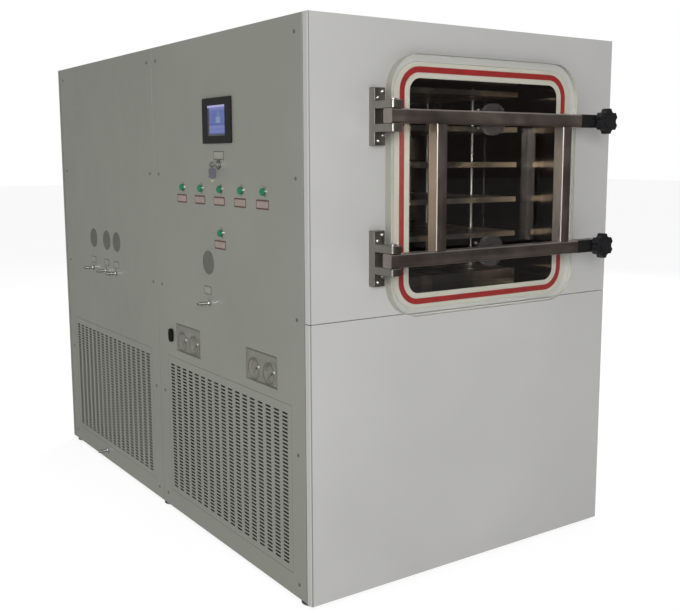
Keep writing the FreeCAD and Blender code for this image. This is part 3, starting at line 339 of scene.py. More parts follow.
def chamber_steel(name, steel, painted):
    """Polished vessel whose front flange is painted."""
    mat = brushed(name, steel, 0.14, VESSEL_GRAIN, depth=0.05, smear=0.08)
    tree = mat.node_tree
    back = front_y + FLANGE_DEPTH
    flange = both(tree, spread(tree, along(tree, "Y"), 1.0, 0.0, back, back + FLANGE_FADE),
                  face_towards(tree, "Y", 0.4, 0.6))
    repaint(tree, flange, painted)
    override(tree, "Roughness", flange, FLANGE_ROUGH)
    override(tree, "Metallic", flange, 0.0)
    return mat


def frame_steel(name, front, side):
    """Upright tubes: dull ground fronts, and side faces with a painted warm reflection, strongest on the left
    one.
    """
    low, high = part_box("door_frame")
    mat = brushed(name, front, 0.38, ALONG_X, smear=0.16, cloud=0.6, upright=(low.z + BAR, high.z - BAR))
    tree = mat.node_tree
    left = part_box("door_plate")[0].x + REFLECTION_INSET
    middle = centre("door_plate").x
    x = along(tree, "X")
    where = both(tree, spread(tree, x, 0.0, 1.0, left, left + REFLECTION_FADE),
                 spread(tree, x, 1.0, RIGHT_REFLECTION, middle, middle + REFLECTION_FADE))
    # the side faces' warm tone is a painted reflection, streaked up the tubes
    streaks = spread(tree, noise(tree, *REFLECTION_STREAKS, ALONG_Z), 0.6, 1.0)
    painted_reflection = both(tree, face_towards(tree, "X", 0.5, 0.8), streaks)
    repaint(tree, both(tree, painted_reflection, where), side)
    return mat


def shelf_steel(name, dull, reflected):
    """Polished shelf whose tone runs from dull at its left end to a painted warm reflection at its right,
    with painted highlight patches.
    """
    mat = brushed(name, dull, 0.30, ALONG_X, depth=0.06)
    tree = mat.node_tree
    left, right = (corner.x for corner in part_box("shelves"))
    reflection_from = left + SHELF_DULL * (right - left)
    # painted highlight patches, then the painted warm reflection towards the right end
    repaint(tree, spread(tree, noise(tree, *SHELF_GLINTS), 0.0, 1.0, 0.48, 0.62), shaded(reflected, GLINT_SHADE))
    repaint(tree, spread(tree, along(tree, "X"), 0.0, 1.0, reflection_from, right), reflected)
    return mat


def edged_paint(name, colour, edge):
    """Front panel paint whose left return is in the duller cabinet tone, with a paler painted highlight along
    its very edge.
    """
    mat = paint(name, colour, 0.42, coat=0.15)
    tree = mat.node_tree
    x = along(tree, "X")
    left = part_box("front_panel_upper")[0].x
    # the return strip's tone, then a paler painted highlight along the very edge
    for width, tone in ((RETURN_DEPTH, edge), (HIGHLIGHT_EDGE, shaded(colour, HIGHLIGHT_SHADE))):
        repaint(tree, spread(tree, x, 1.0, 0.0, left + width, left + width + RETURN_FADE), tone)
    return mat


def tag_material(name):
    """Tag whose body is blue-grey card in a sleeve and whose tail is bare yellowed plastic."""
    mat = moulded(name, TAG_BODY, 0.4)
    tree = mat.node_tree
    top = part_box("key_tag")[0].z + TAIL_TOP
    repaint(tree, spread(tree, along(tree, "Z"), 1.0, 0.0, top, top + TAIL_FADE), TAG_TAIL)
    return mat


WHOLE = None
PAGE = ((0.085, 0.125, 0.36), (0.115, 0.150, 0.42))
SCREEN_GLOW = 0.82
# fields of the display, each with its start, end and soft edge up the screen and then along it, as shares
FIELDS = (
    ((0.84, 0.93, 0.02), WHOLE, (0.17, 0.18, 0.47)),                            # title
    ((0.34, 0.40, 0.01), WHOLE, (0.075, 0.10, 0.32)),                           # rule
    ((0.23, 0.34, 0.02), WHOLE, (0.16, 0.20, 0.45)),                            # upper status row
    ((0.10, 0.21, 0.02), WHOLE, (0.15, 0.19, 0.46)),                            # lower status row
    ((0.42, 0.62, 0.02), (0.50, 0.74, 0.05), (0.20, 0.29, 0.46)),               # vessel
    ((0.60, 0.80, 0.03), (0.58, 0.68, 0.03), (0.14, 0.21, 0.42)),               # its dome
    ((-0.20, 0.07, 0.02), WHOLE, (0.060, 0.058, 0.075)),                        # dark foot
    ((0.93, 1.20, 0.01), WHOLE, (0.42, 0.43, 0.70)),                            # pale head
    ((-0.20, 0.92, 0.01), (-0.20, 0.10, 0.02), (0.032, 0.026, 0.036)),          # dark left margin
)


def screen_material(name):
    """Lit display: a blue page with a pale title line, a mimic of the vessel and status rows below it."""
    mat, tree, bsdf = new_material(name)
    lo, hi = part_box("panel_screen")
    up = spread(tree, along(tree, "Z"), 0.0, 1.0, lo.z, hi.z)
    across = spread(tree, along(tree, "Y"), 0.0, 1.0, hi.y, lo.y)
    page = between(tree, spread(tree, noise(tree, *PAGE_CLOUD), 0.0, 1.0), *PAGE)
    for rows, columns, colour in FIELDS:
        mask = inside(tree, up, *rows)
        if columns is not WHOLE:
            mask = both(tree, mask, inside(tree, across, *columns))
        page = over(tree, page, mask, colour)
    tree.links.new(page, bsdf.inputs["Emission Color"])
    bsdf.inputs["Emission Strength"].default_value = SCREEN_GLOW
    bsdf.inputs["Base Color"].default_value = (0.01, 0.01, 0.015, 1.0)
    bsdf.inputs["Roughness"].default_value = 0.12
    return mat


# ---------------------------------------------------------------- the materials
# by the record's material slots, without those whose nodes all have a finer choice below
MATERIALS = {
    "panel_paint": paint("panel_paint", (0.180, 0.183, 0.160), 0.34, coat=0.25),
    "frame_paint": paint("frame_paint", (0.045, 0.045, 0.045), 0.55),
    "black_metal": paint("black_metal", (0.010, 0.010, 0.011), 0.30, coat=0.3, peel=0.3, drift=0.2),
    "machine_paint": paint("machine_paint", (0.012, 0.013, 0.015), 0.45, peel=0.3),
    "stainless": brushed("stainless", (0.44, 0.42, 0.40), 0.36, ALONG_X, smear=0.16),
    "bezel_chrome": brushed("bezel_chrome", (0.72, 0.73, 0.71), 0.22, ALONG_Z, depth=0.05),
    "silicone_seal": moulded("silicone_seal", (0.245, 0.016, 0.016), 0.55, 700.0, grain=0.1, gloss=0.15),
    "black_plastic": moulded("black_plastic", (0.012, 0.012, 0.014), 0.38),
    "black_rubber": moulded("black_rubber", (0.005, 0.005, 0.006), 0.7, gloss=0.12),
    "green_plastic": moulded("green_plastic", (0.006, 0.13, 0.055), 0.18, 300.0, grain=0.03),
    "grey_plastic": moulded("grey_plastic", (0.085, 0.085, 0.078), 0.5),
    "insert_plastic": moulded("insert_plastic", (0.172, 0.168, 0.148), 0.5),
    "pointer_paint": moulded("pointer_paint", (0.035, 0.033, 0.030), 0.4),
    "fan_plastic": moulded("fan_plastic", (0.012, 0.012, 0.012), 0.5),
    "clear_plate": clear_plate("clear_plate", (0.905, 0.91, 0.885), (0.44, 0.44, 0.37), "Y"),
    "screen_glass": screen_material("screen_glass"),
}


def finish_cad_nodes():
    """Gives every CAD node its slot's material, with finer choices where a node shows differently."""
    # dull steel, then the warm tone of the painted reflection
    shelf = shelf_steel("shelf_steel", (0.20, 0.19, 0.18), (0.78, 0.62, 0.46))
    front = edged_paint("front_edged", (0.432, 0.430, 0.420), (0.195, 0.195, 0.180))
    nickel = brushed("key_nickel", (0.30, 0.30, 0.29), 0.36, ALONG_Z, depth=0.05)
    special = {
        "front_panel_upper": front,
        "front_panel_lower": front,
        "key_switch": nickel,
        "switch_key": nickel,
        "hose_nozzles": brushed("nozzle_steel", (0.74, 0.74, 0.72), 0.22, ALONG_X, depth=0.05),
        "shelves": shelf,
        "bottom_plate": shelf,
        # the steel tone is kept very dark as painted shade of the closed chamber; the flange tone is its
        # paint
        "chamber": chamber_steel("chamber_steel", (0.125, 0.113, 0.10), (0.46, 0.45, 0.40)),
        "door_pads": frosted("pad_acrylic", (0.60, 0.55, 0.53), 0.20, 0.94),
        "gauge_windows": clear_plate("gauge_window", (0.95, 0.95, 0.92), (0.22, 0.215, 0.195), "X"),
        # the second tone is the painted reflection on the tubes' side faces
        "door_frame": frame_steel("frame_steel", (0.36, 0.33, 0.31), (0.56, 0.47, 0.34)),
        "panel_housing": moulded("housing_plastic", (0.014, 0.013, 0.014), 0.6, gloss=0.25),
        "key_tag": tag_material("tag_card"),
    }
    for sub in frame["record"]["subparts"]:
        node = nodes[sub["node"]]
        node.data.materials.clear()
        node.data.materials.append(special.get(sub["node"]) or MATERIALS[sub["material_slot"]])
    for clear in ("door_plate", "gauge_windows"):      # clear sheets let the lights through
        nodes[clear].visible_shadow = False


# ---------------------------------------------------------------- mesh helpers
def add_piece(name, bm, mats, body="cabinet"):
    """Turns a bmesh into a piece that rides on a body."""
    mesh = bpy.data.meshes.new(name)
    bmesh.ops.recalc_face_normals(bm, faces=bm.faces)
    bm.to_mesh(mesh)
    bm.free()
    piece = bpy.data.objects.new(name, mesh)
    bpy.context.scene.collection.objects.link(piece)
    for mat in mats:
        mesh.materials.append(mat)
    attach(piece, body)
    return piece


def basis(outward):
    """A matrix that turns local +Z to outward and local +Y upwards."""
    z = Vector(outward).normalized()
    x = UP.cross(z).normalized()
    return Matrix((x, z.cross(x), z)).transposed().to_4x4()


def placed(bm, start, matrix):
    """Moves the vertices added since start by matrix."""
    bm.verts.ensure_lookup_table()
    bmesh.ops.transform(bm, matrix=matrix, verts=bm.verts[start:])


def bridge(bm, rings):
    """Skins a stack of rings that all have the same number of points."""
    count = len(rings[0])
    for a, b in zip(rings[:-1], rings[1:]):
        for i in range(count):
            j = (i + 1) % count
            bm.faces.new((a[i], a[j], b[j], b[i]))


def circle(bm, r, z, sides):
    """A ring of points about local z."""
    turns = [2 * math.pi * i / sides for i in range(sides)]
    return [bm.verts.new((r * math.cos(turn), r * math.sin(turn), z)) for turn in turns]


def turned(u, v, turn):
    """The point u, v turned about the origin."""
    return u * math.cos(turn) - v * math.sin(turn), u * math.sin(turn) + v * math.cos(turn)


def rounded_rect(w, h, radii, steps=4):
    """Outline about the origin; radii are those of the corners at +u+v, -u+v, -u-v and +u-v."""
    points = []
    for (su, sv, start), r in zip(((1, 1, 0), (-1, 1, 90), (-1, -1, 180), (1, -1, 270)), radii):
        for i in range(steps + 1):
            a = math.radians(start + 90 * i / steps)
            points.append((su * (w / 2 - r) + r * math.cos(a), sv * (h / 2 - r) + r * math.sin(a)))
    return points


# ---------------------------------------------------------------- vent covers
SLOT_L, SLOT_H = 31.0 * MM, 6.0 * MM
SLOT_COLS, SLOT_ROWS = 17, 40
SLOT_PITCH_Y, SLOT_PITCH_Z = 46.8 * MM, 11.1 * MM
SLOTS_DROP = 3.0 * MM                       # the grid's middle, below the cover's
END_POINTS = 4                              # steps in each quarter of a slot's round end


def slot_outline():
    """Upper half of a slot's outline from its left end to its right end, about its centre."""
    straight = (SLOT_L - SLOT_H) / 2
    r = SLOT_H / 2
    turns = [math.pi / 2 * i / END_POINTS for i in range(END_POINTS + 1)]
    left = [(-straight - r * math.cos(turn), r * math.sin(turn)) for turn in turns]
    return left + [(-u, v) for u, v in reversed(left)]


def slotted_face(bm, x, lo, hi):
    """One face of a vent cover with its slots left open: gives the slots' half outlines, and the corners."""
    half = slot_outline()
    mid_y, mid_z = (lo.y + hi.y) / 2, (lo.z + hi.z) / 2 - SLOTS_DROP
    grid_y = [mid_y + (i - SLOT_COLS / 2) * SLOT_PITCH_Y for i in range(SLOT_COLS + 1)]
    grid_z = [mid_z + (j - SLOT_ROWS / 2) * SLOT_PITCH_Z for j in range(SLOT_ROWS + 1)]
    found = {}

    def vert(y, z):
        key = (round(y, 6), round(z, 6))
        if key not in found:
            found[key] = bm.verts.new((x, y, z))
        return found[key]

    arcs = []
    for y, next_y in zip(grid_y[:-1], grid_y[1:]):
        for z, next_z in zip(grid_z[:-1], grid_z[1:]):
            cy, cz = (y + next_y) / 2, (z + next_z) / 2
            for way, far in ((1, next_z), (-1, z)):
                arc = [vert(cy + u, cz + way * v) for u, v in half]
                bm.faces.new(arc + [vert(next_y, cz), vert(next_y, far), vert(y, far), vert(y, cz)])
                arcs.append(arc)
    middles = [(a + b) / 2 for a, b in zip(grid_z[:-1], grid_z[1:])]
    levels = sorted(grid_z + middles, reverse=True)
    near_low, near_high = (bm.verts.new((x, lo.y, z)) for z in (lo.z, hi.z))
    far_low, far_high = (bm.verts.new((x, hi.y, z)) for z in (lo.z, hi.z))
    bm.faces.new([near_low, near_high] + [vert(grid_y[0], z) for z in levels])
    bm.faces.new([far_low, far_high] + [vert(grid_y[-1], z) for z in levels])
    bm.faces.new([near_high, far_high] + [vert(y, grid_z[-1]) for y in reversed(grid_y)])
    bm.faces.new([near_low, far_low] + [vert(y, grid_z[0]) for y in reversed(grid_y)])
    return arcs, [near_low, far_low, far_high, near_high]


def vent_cover(name, lo, hi):
    """A sheet from lo to hi with its grid of slots cut right through."""
    bm = bmesh.new()
    arcs, corners = slotted_face(bm, lo.x, lo, hi)
    other_arcs, other_corners = slotted_face(bm, hi.x, lo, hi)
    for arc, other in zip(arcs, other_arcs):
        for i in range(len(arc) - 1):
            bm.faces.new((arc[i], arc[i + 1], other[i + 1], other[i]))
    bridge(bm, [corners, other_corners])
    piece = add_piece(name, bm, [MATERIALS["panel_paint"]])
    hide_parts("vent_covers")


def vent_covers():
    """A slotted cover in place of each plain one."""
    for lo, hi in solids_of("vent_covers"):
        side = "left" if lo.x < 0 else "right"
        end = "front" if lo.y + hi.y < 0 else "rear"
        vent_cover("vent_cover_%s_%s" % (side, end), lo, hi)


# ---------------------------------------------------------------- screws
HEAD_SIDES = 20
HEAD_SINK = 0.3 * MM                        # how far a head's rim reaches into what it lies on
# radius and height up a domed head, as shares of its own
HEAD_DOME = ((1.0, 0.25), (0.86, 0.62), (0.60, 0.88), (0.42, 1.0))
CROSS_HALF, CROSS_REACH = 0.10, 0.36        # recess arms, as shares of the head's radius
CROSS_TAPER, CROSS_FLOOR = 0.7, 0.45
HEAD_SPIN = 0.7                             # radians by which each head is turned from the one before


def dome_screw(bm, r, h):
    """A domed cross-recessed head about the local origin, facing +z."""
    rings = [circle(bm, r, -HEAD_SINK, HEAD_SIDES)]
    rings += [circle(bm, share * r, height * h, HEAD_SIDES) for share, height in HEAD_DOME]
    bridge(bm, rings)
    inner, outer = CROSS_HALF * r, CROSS_REACH * r
    # three points to a quarter: the two corners of an arm's end, and the inner corner after it
    cross = [turned(u, v, math.pi / 2 * quarter)
             for quarter in range(4) for u, v in ((outer, -inner), (outer, inner), (inner, inner))]
    top = [bm.verts.new((u, v, h)) for u, v in cross]
    low = [bm.verts.new((u * CROSS_TAPER, v * CROSS_TAPER, CROSS_FLOOR * h)) for u, v in cross]
    bridge(bm, [top, low])
    bm.faces.new(low)
    crown = rings[-1]
    per = HEAD_SIDES // 4
    for quarter in range(4):
        start, arm = quarter * per, 3 * quarter
        for step in range(per):
            nearest = top[arm + (1 if step < per // 2 else 2)]
            bm.faces.new((crown[start + step], crown[(start + step + 1) % HEAD_SIDES], nearest))
        bm.faces.new((crown[start + per // 2], top[arm + 2], top[arm + 1]))
        bm.faces.new((crown[start], top[arm + 1], top[arm]))
        bm.faces.new((crown[start], top[arm], top[arm - 1]))


def screws(name, places, outward, r, h, mat, slot, body="cabinet"):
    """One piece with a screw head at each place, facing outward."""
    bm = bmesh.new()
    turn = basis(outward)
    for index, place in enumerate(places):
        start = len(bm.verts)
        dome_screw(bm, r, h)
        spin = Matrix.Rotation(HEAD_SPIN * index, 4, "Z")
        placed(bm, start, Matrix.Translation(place) @ turn @ spin)
    add_piece(name, bm, [mat], body)


SCREW_ROWS = (53.0, 428.0, 804.0, 1180.0, 1555.0)     # heights in mm
SCREW_INSET = 37.0 * MM                     # from a panel's upright edges
PANEL_SCREW_R, PANEL_SCREW_H = 5.2 * MM, 1.9 * MM


def panel_screws():
    """Screw columns near the upright edges of the side and rear panels."""
    grey = MATERIALS["grey_plastic"]
    size = (PANEL_SCREW_R, PANEL_SCREW_H)
    for side, out in (("left", -1), ("right", 1)):
        for end in ("front", "rear"):
            lo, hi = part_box("%s_panel_%s" % (side, end))
            x = lo.x if out < 0 else hi.x
            ys = (lo.y + SCREW_INSET, hi.y - SCREW_INSET)
            places = [Vector((x, y, z * MM)) for y in ys for z in SCREW_ROWS]
            screws("screws_%s_%s" % (side, end), places, (out, 0, 0), *size, grey, "grey_plastic")
    lo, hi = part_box("rear_panel")
    xs = (lo.x + SCREW_INSET, hi.x - SCREW_INSET)
    places = [Vector((x, hi.y, z * MM)) for x in xs for z in SCREW_ROWS]
    screws("screws_rear", places, (0, 1, 0), *size, grey, "grey_plastic")


# ---------------------------------------------------------------- labels
LABEL_T, LABEL_SIDE = 1.2 * MM, 0.84 * MM   # thickness, and how much of it is upright below the bevel
LABEL_SINK = 0.4 * MM                       # how far the field lies below the rim
LABEL_BEVEL = 0.3 * MM
LABEL_R, BEVEL_R, FIELD_R = 2.0 * MM, 1.8 * MM, 1.0 * MM
# width, height, side rims, upper and lower rims, then back and up from what the label belongs to, in mm
BUTTON_LABEL = (70.0, 27.0, 1.6, 4.2, 7.0, -36.0)
KEY_LABEL = (66.0, 26.0, 1.0, 3.0, -1.0, 27.5)
COVER_LABEL = (46.0, 26.0, 0.6, 2.4, 8.0, -88.0)


def framed_plate(bm, w, h, side_rim, rim):
    """A plate with rounded corners, a raised bevelled rim and a lower field."""
    outer = rounded_rect(w, h, (LABEL_R,) * 4)
    bevelled = rounded_rect(w - 2 * LABEL_BEVEL, h - 2 * LABEL_BEVEL, (BEVEL_R,) * 4)
    field = rounded_rect(w - 2 * side_rim, h - 2 * rim, (FIELD_R,) * 4)
    levels = ((outer, 0.0), (outer, LABEL_SIDE), (bevelled, LABEL_T), (field, LABEL_T),
              (field, LABEL_T - LABEL_SINK))
    rings = [[bm.verts.new((u, v, z)) for u, v in points] for points, z in levels]
    bridge(bm, rings)
    bm.faces.new(rings[-1]).material_index = 1
    bm.faces.new(list(reversed(rings[0])))


def labels(name, owners, layout, rim_mat, field_mat):
    """One bare label on the control side for each owner's middle, by its layout."""
    w, h, side_rim, rim, back, up = (value * MM for value in layout)
    bm = bmesh.new()
    turn = basis((-1, 0, 0))
    for mid in owners:
        start = len(bm.verts)
        framed_plate(bm, w, h, side_rim, rim)
        place = Vector((side_x, mid.y + back, mid.z + up))
        placed(bm, start, Matrix.Translation(place) @ turn)
    add_piece(name, bm, [rim_mat, field_mat])


def control_labels():
    """Bare plates: one under each push button, one above the key switch, one under each round cover."""
    maroon = moulded("label_maroon", (0.075, 0.032, 0.032), 0.4)
    pink = moulded("label_field", (0.235, 0.185, 0.165), 0.5)
    grey = moulded("label_grey_rim", (0.085, 0.082, 0.075), 0.4)
    pale = moulded("label_grey_field", (0.215, 0.212, 0.190), 0.5)
    buttons = [centre("button_%d" % i) for i in range(1, 7)]
    covers = [(lo + hi) / 2 for lo, hi in solids_of("round_covers")]
    labels("labels_buttons", buttons, BUTTON_LABEL, maroon, pink)
    labels("label_key", [centre("key_switch")], KEY_LABEL, grey, pale)
    labels("labels_covers", covers, COVER_LABEL, grey, pale)


# ---------------------------------------------------------------- gauges
# dials, from their window's middle
GAUGE_DROP, GAUGE_BACK, GAUGE_HALF_PITCH = 10.5 * MM, 4.0 * MM, 44.0 * MM
DIAL_FLOOR = 2.0 * MM                       # thickness of the insert under a dial
DIAL_GAP = 0.05 * MM                        # dial off that floor
DIAL_R, DIAL_SIDES = 27.6 * MM, 48
DIAL_EDGE_T, DIAL_T = 0.30 * MM, 0.45 * MM
DIAL_FLAT, DIAL_HUB = 0.90, 0.12            # radii of its flat top and of its middle, as shares
TICKS, TICKS_PER_MARK = 11, 5
TICK_START, TICK_SWEEP = 225.0, 270.0
TICK_LOW, TICK_HIGH = 0.40 * MM, 0.75 * MM
TICK_END = 0.92                             # outer end of a tick, as a share of the dial's radius
# inner end as a share of the dial's radius, and half the width
LONG_TICK, SHORT_TICK = (0.66, 0.75 * MM), (0.76, 0.5 * MM)
RIM_IN, RIM_OUT, RIM_GAP = 28.4 * MM, 33.4 * MM, 0.45 * MM     # dark ring round a dial, behind the window
RIM_BEVEL = 0.3 * MM
RIM_LEVELS = (0.02 * MM, 0.2 * MM, 0.38 * MM)
STUD_AHEAD, STUD_UP = 33.0 * MM, 10.0 * MM  # zeroing screw, from its dial's middle
STUD_R, STUD_H = 4.2 * MM, 3.0 * MM


def lathed(bm, profile):
    """Turns a profile of (radius, height) about local z."""
    rings = [circle(bm, r, z, DIAL_SIDES) for r, z in profile]
    bridge(bm, rings)
    return rings


def dial(bm):
    """Scale disc with raised tick marks over three quarters of a turn."""
    rings = lathed(bm, [(DIAL_R, 0.0), (DIAL_R, DIAL_EDGE_T), (DIAL_FLAT * DIAL_R, DIAL_T),
                        (DIAL_HUB * DIAL_R, DIAL_T)])
    bm.faces.new(rings[-1])
    for i in range(TICKS):
        turn = math.radians(TICK_START - TICK_SWEEP * i / (TICKS - 1))
        share, half = SHORT_TICK if i % TICKS_PER_MARK else LONG_TICK
        inner, outer = share * DIAL_R, TICK_END * DIAL_R
        outline = ((inner, -half), (outer, -half), (outer, half), (inner, half))
        corner = [turned(u, v, turn) for u, v in outline]
        low = [bm.verts.new((u, v, TICK_LOW)) for u, v in corner]
        top = [bm.verts.new((u, v, TICK_HIGH)) for u, v in corner]
        for a in range(4):
            b = (a + 1) % 4
            bm.faces.new((low[a], low[b], top[b], top[a])).material_index = 1
        bm.faces.new(top).material_index = 1


def dial_rim(bm):
    """Flat ring with bevelled edges that goes round a dial."""
    foot, side, face = RIM_LEVELS
    lathed(bm, [(RIM_IN, foot), (RIM_OUT, foot), (RIM_OUT, side), (RIM_OUT - RIM_BEVEL, face),
                (RIM_IN + RIM_BEVEL, face), (RIM_IN, side), (RIM_IN, foot)])


def gauges():
    """Dial faces, dark rims and a bright zeroing screw on each rim, behind the two windows."""
    turn = basis((-1, 0, 0))
    dial_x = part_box("gauge_inserts")[1].x - DIAL_FLOOR - DIAL_GAP
    faces, rims, studs = bmesh.new(), bmesh.new(), []
    for lo, hi in solids_of("gauge_windows"):
        mid = (lo + hi) / 2
        for side in (-1, 1):
            y, z = mid.y + side * GAUGE_HALF_PITCH + GAUGE_BACK, mid.z - GAUGE_DROP
            for bm, make, x in ((faces, dial, dial_x), (rims, dial_rim, hi.x + RIM_GAP)):
                start = len(bm.verts)
                make(bm)
                placed(bm, start, Matrix.Translation((x, y, z)) @ turn)
            studs.append(Vector((lo.x, y - STUD_AHEAD, z + STUD_UP)))
    face = moulded("dial_face", (0.185, 0.180, 0.158), 0.5)
    dark = moulded("dial_ring", (0.060, 0.056, 0.048), 0.45)
    nickel = brushed("stud_nickel", (0.96, 0.96, 0.93), 0.38, ALONG_Z, depth=0.05)
    add_piece("gauge_dials", faces, [face, dark])
    add_piece("gauge_rims", rims, [dark])
    screws("gauge_window_studs", studs, (-1, 0, 0), STUD_R, STUD_H, nickel, "bezel_chrome")


# ---------------------------------------------------------------- door hardware
BRACKET_W, BRACKET_T = 35.0 * MM, 25.0 * MM
BASE_RADII = (0.3 * MM, 0.3 * MM, 0.8 * MM, 0.8 * MM)
EAR_RADII, EAR_STEPS = (0.3 * MM, 0.3 * MM, 8.0 * MM, 3.0 * MM), 6
BASE_SOFT, EAR_SOFT = 1.5 * MM, 1.2 * MM    # softening of the upper and lower edges
EAR_SINK = 1.5 * MM                         # how far an ear reaches into the base
EAR_T, EAR_FROM_BAR = 21.0 * MM, 19.8 * MM
PIN_BORE, PIN_FROM_TIP = 7.15 * MM, 20.0 * MM
# hinge bolts in mm, from the bracket's left edge and its middle
BOLTS = ((26.0, 65.0), (11.0, 49.0), (28.0, -49.0), (13.0, -64.0))
BOLT_R, BOLT_H = 5.2 * MM, 4.0 * MM
DOOR_STUD_LEFT, DOOR_STUD_UP = 51.0 * MM, 25.0 * MM     # studs, from a pad's middle
DOOR_STUD_R, DOOR_STUD_H = 4.2 * MM, 7.0 * MM


def outward_normals(outline):
    """At each point of a closed outline, the unit vector square to the line between its neighbours."""
    count = len(outline)
    normals = []
    for i in range(count):
        ax, ay = outline[i - 1]
        bx, by = outline[(i + 1) % count]
        size = math.hypot(bx - ax, by - ay)
        normals.append(((by - ay) / size, -(bx - ax) / size))
    return normals


def slab(bm, outline, lo, hi, soft, hole=None):
    """A prism along z from lo to hi with softened ends, and a round hole if hole gives x, y and r."""
    normals = outward_normals(outline)
    rings = []
    for shrink, z in ((soft, lo), (0.0, lo + soft), (0.0, hi - soft), (soft, hi)):
        rings.append([bm.verts.new((x - shrink * nx, y - shrink * ny, z))
                      for (x, y), (nx, ny) in zip(outline, normals)])
    if hole:
        cx, cy, r = hole
        turns = [math.atan2(y - cy, x - cx) for x, y in outline]
        bore = [[bm.verts.new((cx + r * math.cos(turn), cy + r * math.sin(turn), z)) for turn in turns]
                for z in (hi, lo)]
        bridge(bm, rings + bore + [rings[0]])
    else:
        bridge(bm, rings)
        bm.faces.new(rings[-1])
        bm.faces.new(list(reversed(rings[0])))


def hinge_bracket(name, lo, hi, steel):
    """A base block and two bored ears, one on each side of the bar, whose front edges are well rounded."""
    bm = bmesh.new()
    pin_x, mid_z = lo.x + BRACKET_W / 2, (lo.z + hi.z) / 2
    base_y = hi.y - BRACKET_T / 2
    base = [(pin_x + u, base_y + v) for u, v in rounded_rect(BRACKET_W, BRACKET_T, BASE_RADII)]
    slab(bm, base, lo.z, hi.z, BASE_SOFT)
    depth = hi.y - BRACKET_T + EAR_SINK - lo.y
    ear = [(pin_x + u, lo.y + depth / 2 + v) for u, v in rounded_rect(BRACKET_W, depth, EAR_RADII, EAR_STEPS)]
    hole = (pin_x, lo.y + PIN_FROM_TIP, PIN_BORE)
    for side in (-1, 1):
        near = mid_z + side * EAR_FROM_BAR
        far = near + side * EAR_T
        slab(bm, ear, min(near, far), max(near, far), EAR_SOFT, hole)
    piece = add_piece(name, bm, [steel])
    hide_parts("hinge_brackets")


def hinge_brackets():
    """Both brackets, and the bolts that hold them to the front panel."""
    steel = brushed("bracket_steel", (0.38, 0.365, 0.33), 0.38, ALONG_Z, smear=0.16)
    bolts = []
    for index, (lo, hi) in enumerate(solids_of("hinge_brackets")):
        hinge_bracket("hinge_bracket_%d" % (index + 1), lo, hi, steel)
        mid_z = (lo.z + hi.z) / 2
        bolts += [Vector((lo.x + u * MM, hi.y - BRACKET_T, mid_z + v * MM)) for u, v in BOLTS]
    screws("hinge_bolts", bolts, (0, -1, 0), BOLT_R, BOLT_H, MATERIALS["bezel_chrome"], "bezel_chrome")


def door_studs():
    """Small domed studs on the door plate beside each pad, above and below the bar."""
    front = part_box("door_plate")[0].y
    places = []
    for lo, hi in solids_of("door_pads"):
        mid = (lo + hi) / 2
        places += [Vector((mid.x - DOOR_STUD_LEFT, front, mid.z + side * DOOR_STUD_UP)) for side in (-1, 1)]
    chrome = MATERIALS["bezel_chrome"]
    screws("door_studs", places, (0, -1, 0), DOOR_STUD_R, DOOR_STUD_H, chrome, "bezel_chrome", body="door")


# ---------------------------------------------------------------- camera, light, floor
CAMERA_FROM_CORNER = (-1286.3, -2039.2, 1234.8)     # from the cabinet's front left lower corner, mm
CAMERA_AZIMUTH, CAMERA_TILT, CAMERA_ROLL = 34.598, -8.115, 0.143
SENSOR, LENS, SHIFT = 36.0, 49.3666, (-0.010662, -0.023779)

# name, place, what it points at, size and power
LIGHTS = (
    ("key", (-3.0, -5.0, 2.1), (-0.1, -0.9, 0.4), (2.6, 1.8), 160.0),
    ("top", (0.0, 0.0, 5.5), (0.0, 0.0, 0.0), (4.0, 4.0), 105.0),
    ("side", (-3.1, -0.7, 0.6), (-0.6, -0.5, 0.7), (1.6, 1.2), 19.0),
    ("fill", (4.6, 4.2, 3.0), (0.3, 0.6, 0.7), (2.6, 1.8), 120.0),
)
NOT_MIRRORED = ("top", "side")              # lights that polished surfaces don't show
NOT_SEEN_THROUGH = ("side",)                # lights that clear plates don't show

BRIGHT_SIDE = (-0.75, 0.65, -0.05)
# places from the dark side to the bright one as shares, with the room's tone there
ROOM_STOPS = ((0.15, (0.068, 0.056, 0.050)), (0.90, (0.34, 0.35, 0.318)))
OVERHEAD = (0.46, 0.46, 0.47)
OVERHEAD_FROM, OVERHEAD_TO = 0.10, 0.75     # upward share of the direction where the overhead tone takes over
WHITE = (1.0, 1.0, 1.0)
FLOOR_TONES = ((0.22, 0.22, 0.22), (0.24, 0.24, 0.24))
FLOOR_GLOW, FLOOR_GLOW_MIRRORED = 0.83, 0.03
FLOOR_HALF = 40.0


def camera():
    """Looks from the front left at chest height, and slightly down."""
    data = bpy.data.cameras.new("camera")
    data.sensor_width = SENSOR
    data.lens = LENS
    data.shift_x, data.shift_y = SHIFT
    data.clip_end = 200.0
    cam = bpy.data.objects.new("camera", data)
    bpy.context.scene.collection.objects.link(cam)
    cam.location = Vector((side_x, front_y, 0.0)) + Vector(CAMERA_FROM_CORNER) * MM
    az, tilt = math.radians(CAMERA_AZIMUTH), math.radians(CAMERA_TILT)
    forward = Vector((math.sin(az) * math.cos(tilt), math.cos(az) * math.cos(tilt), math.sin(tilt)))
    cam.rotation_mode = "QUATERNION"
    look = forward.to_track_quat("-Z", "Y")
    roll = Matrix.Rotation(math.radians(CAMERA_ROLL), 4, forward).to_quaternion()
    cam.rotation_quaternion = roll @ look
    bpy.context.scene.camera = cam


def area_light(name, at, towards, size, power):
    data = bpy.data.lights.new(name, "AREA")
    data.shape = "RECTANGLE"
    data.size, data.size_y = size
    data.energy = power
    lamp = bpy.data.objects.new(name, data)
    bpy.context.scene.collection.objects.link(lamp)
    lamp.location = at
    lamp.rotation_mode = "QUATERNION"
    lamp.rotation_quaternion = (Vector(towards) - Vector(at)).to_track_quat("-Z", "Y")
    lamp.visible_glossy = name not in NOT_MIRRORED
    lamp.visible_transmission = name not in NOT_SEEN_THROUGH


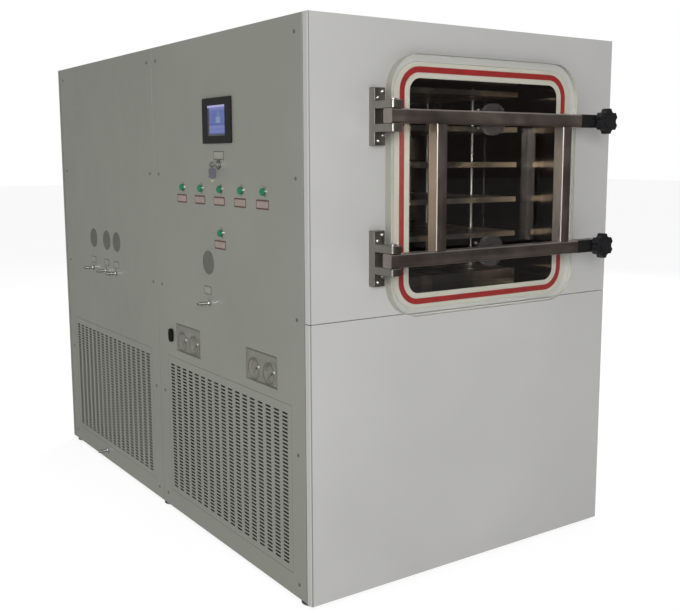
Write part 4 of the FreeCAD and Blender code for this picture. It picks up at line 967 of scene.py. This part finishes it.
def world_light():
    """Soft room light: bright above and at the rear left, dark at the front right, and a white backdrop."""
    world = bpy.data.worlds.new("world")
    bpy.context.scene.world = world
    world.use_nodes = True
    tree = world.node_tree
    source = tree.nodes.new("ShaderNodeTexCoord")
    direction = source.outputs["Generated"]
    split = tree.nodes.new("ShaderNodeSeparateXYZ")
    tree.links.new(direction, split.inputs["Vector"])
    facing = tree.nodes.new("ShaderNodeVectorMath")
    facing.operation = "DOT_PRODUCT"
    facing.inputs[1].default_value = Vector(BRIGHT_SIDE).normalized()
    tree.links.new(direction, facing.inputs[0])
    level = tree.nodes.new("ShaderNodeValToRGB")
    for stop, (place, tone) in zip(level.color_ramp.elements, ROOM_STOPS):
        stop.position = place
        stop.color = (*tone, 1.0)
    tree.links.new(spread(tree, facing.outputs["Value"], 0.0, 1.0, -1.0, 1.0), level.inputs["Fac"])
    upward = spread(tree, split.outputs["Z"], 0.0, 1.0, OVERHEAD_FROM, OVERHEAD_TO)
    room = over(tree, level.outputs["Color"], upward, OVERHEAD)
    path = tree.nodes.new("ShaderNodeLightPath")
    seen = over(tree, room, path.outputs["Is Camera Ray"], WHITE)
    tree.links.new(seen, tree.nodes["Background"].inputs["Color"])


def floor_material():
    """White sweep that stays white out to the horizon and still takes a faint shadow."""
    mat, tree, bsdf = new_material("floor")
    drift = spread(tree, noise(tree, *FLOOR_DRIFT), 0.0, 1.0)
    tree.links.new(between(tree, drift, *FLOOR_TONES), bsdf.inputs["Base Color"])
    path = tree.nodes.new("ShaderNodeLightPath")
    glow = spread(tree, path.outputs["Glossy Depth"], FLOOR_GLOW, FLOOR_GLOW_MIRRORED, 0.4, 0.6)
    tree.links.new(glow, bsdf.inputs["Emission Strength"])
    bsdf.inputs["Roughness"].default_value = 0.9
    bsdf.inputs["Emission Color"].default_value = (*WHITE, 1.0)
    mat.cycles.emission_sampling = "NONE"
    return mat


def studio_floor():
    """A wide flat floor, which isn't part of the object."""
    bm = bmesh.new()
    bmesh.ops.create_grid(bm, x_segments=1, y_segments=1, size=FLOOR_HALF)
    mesh = bpy.data.meshes.new("floor")
    bm.to_mesh(mesh)
    bm.free()
    floor = bpy.data.objects.new("floor", mesh)
    bpy.context.scene.collection.objects.link(floor)
    mesh.materials.append(floor_material())
    floor.visible_glossy = False


finish_cad_nodes()
vent_covers()
panel_screws()
control_labels()
gauges()
hinge_brackets()
door_studs()
camera()
for light in LIGHTS:
    area_light(*light)
world_light()
studio_floor()
bpy.context.scene.view_settings.view_transform = "Standard"
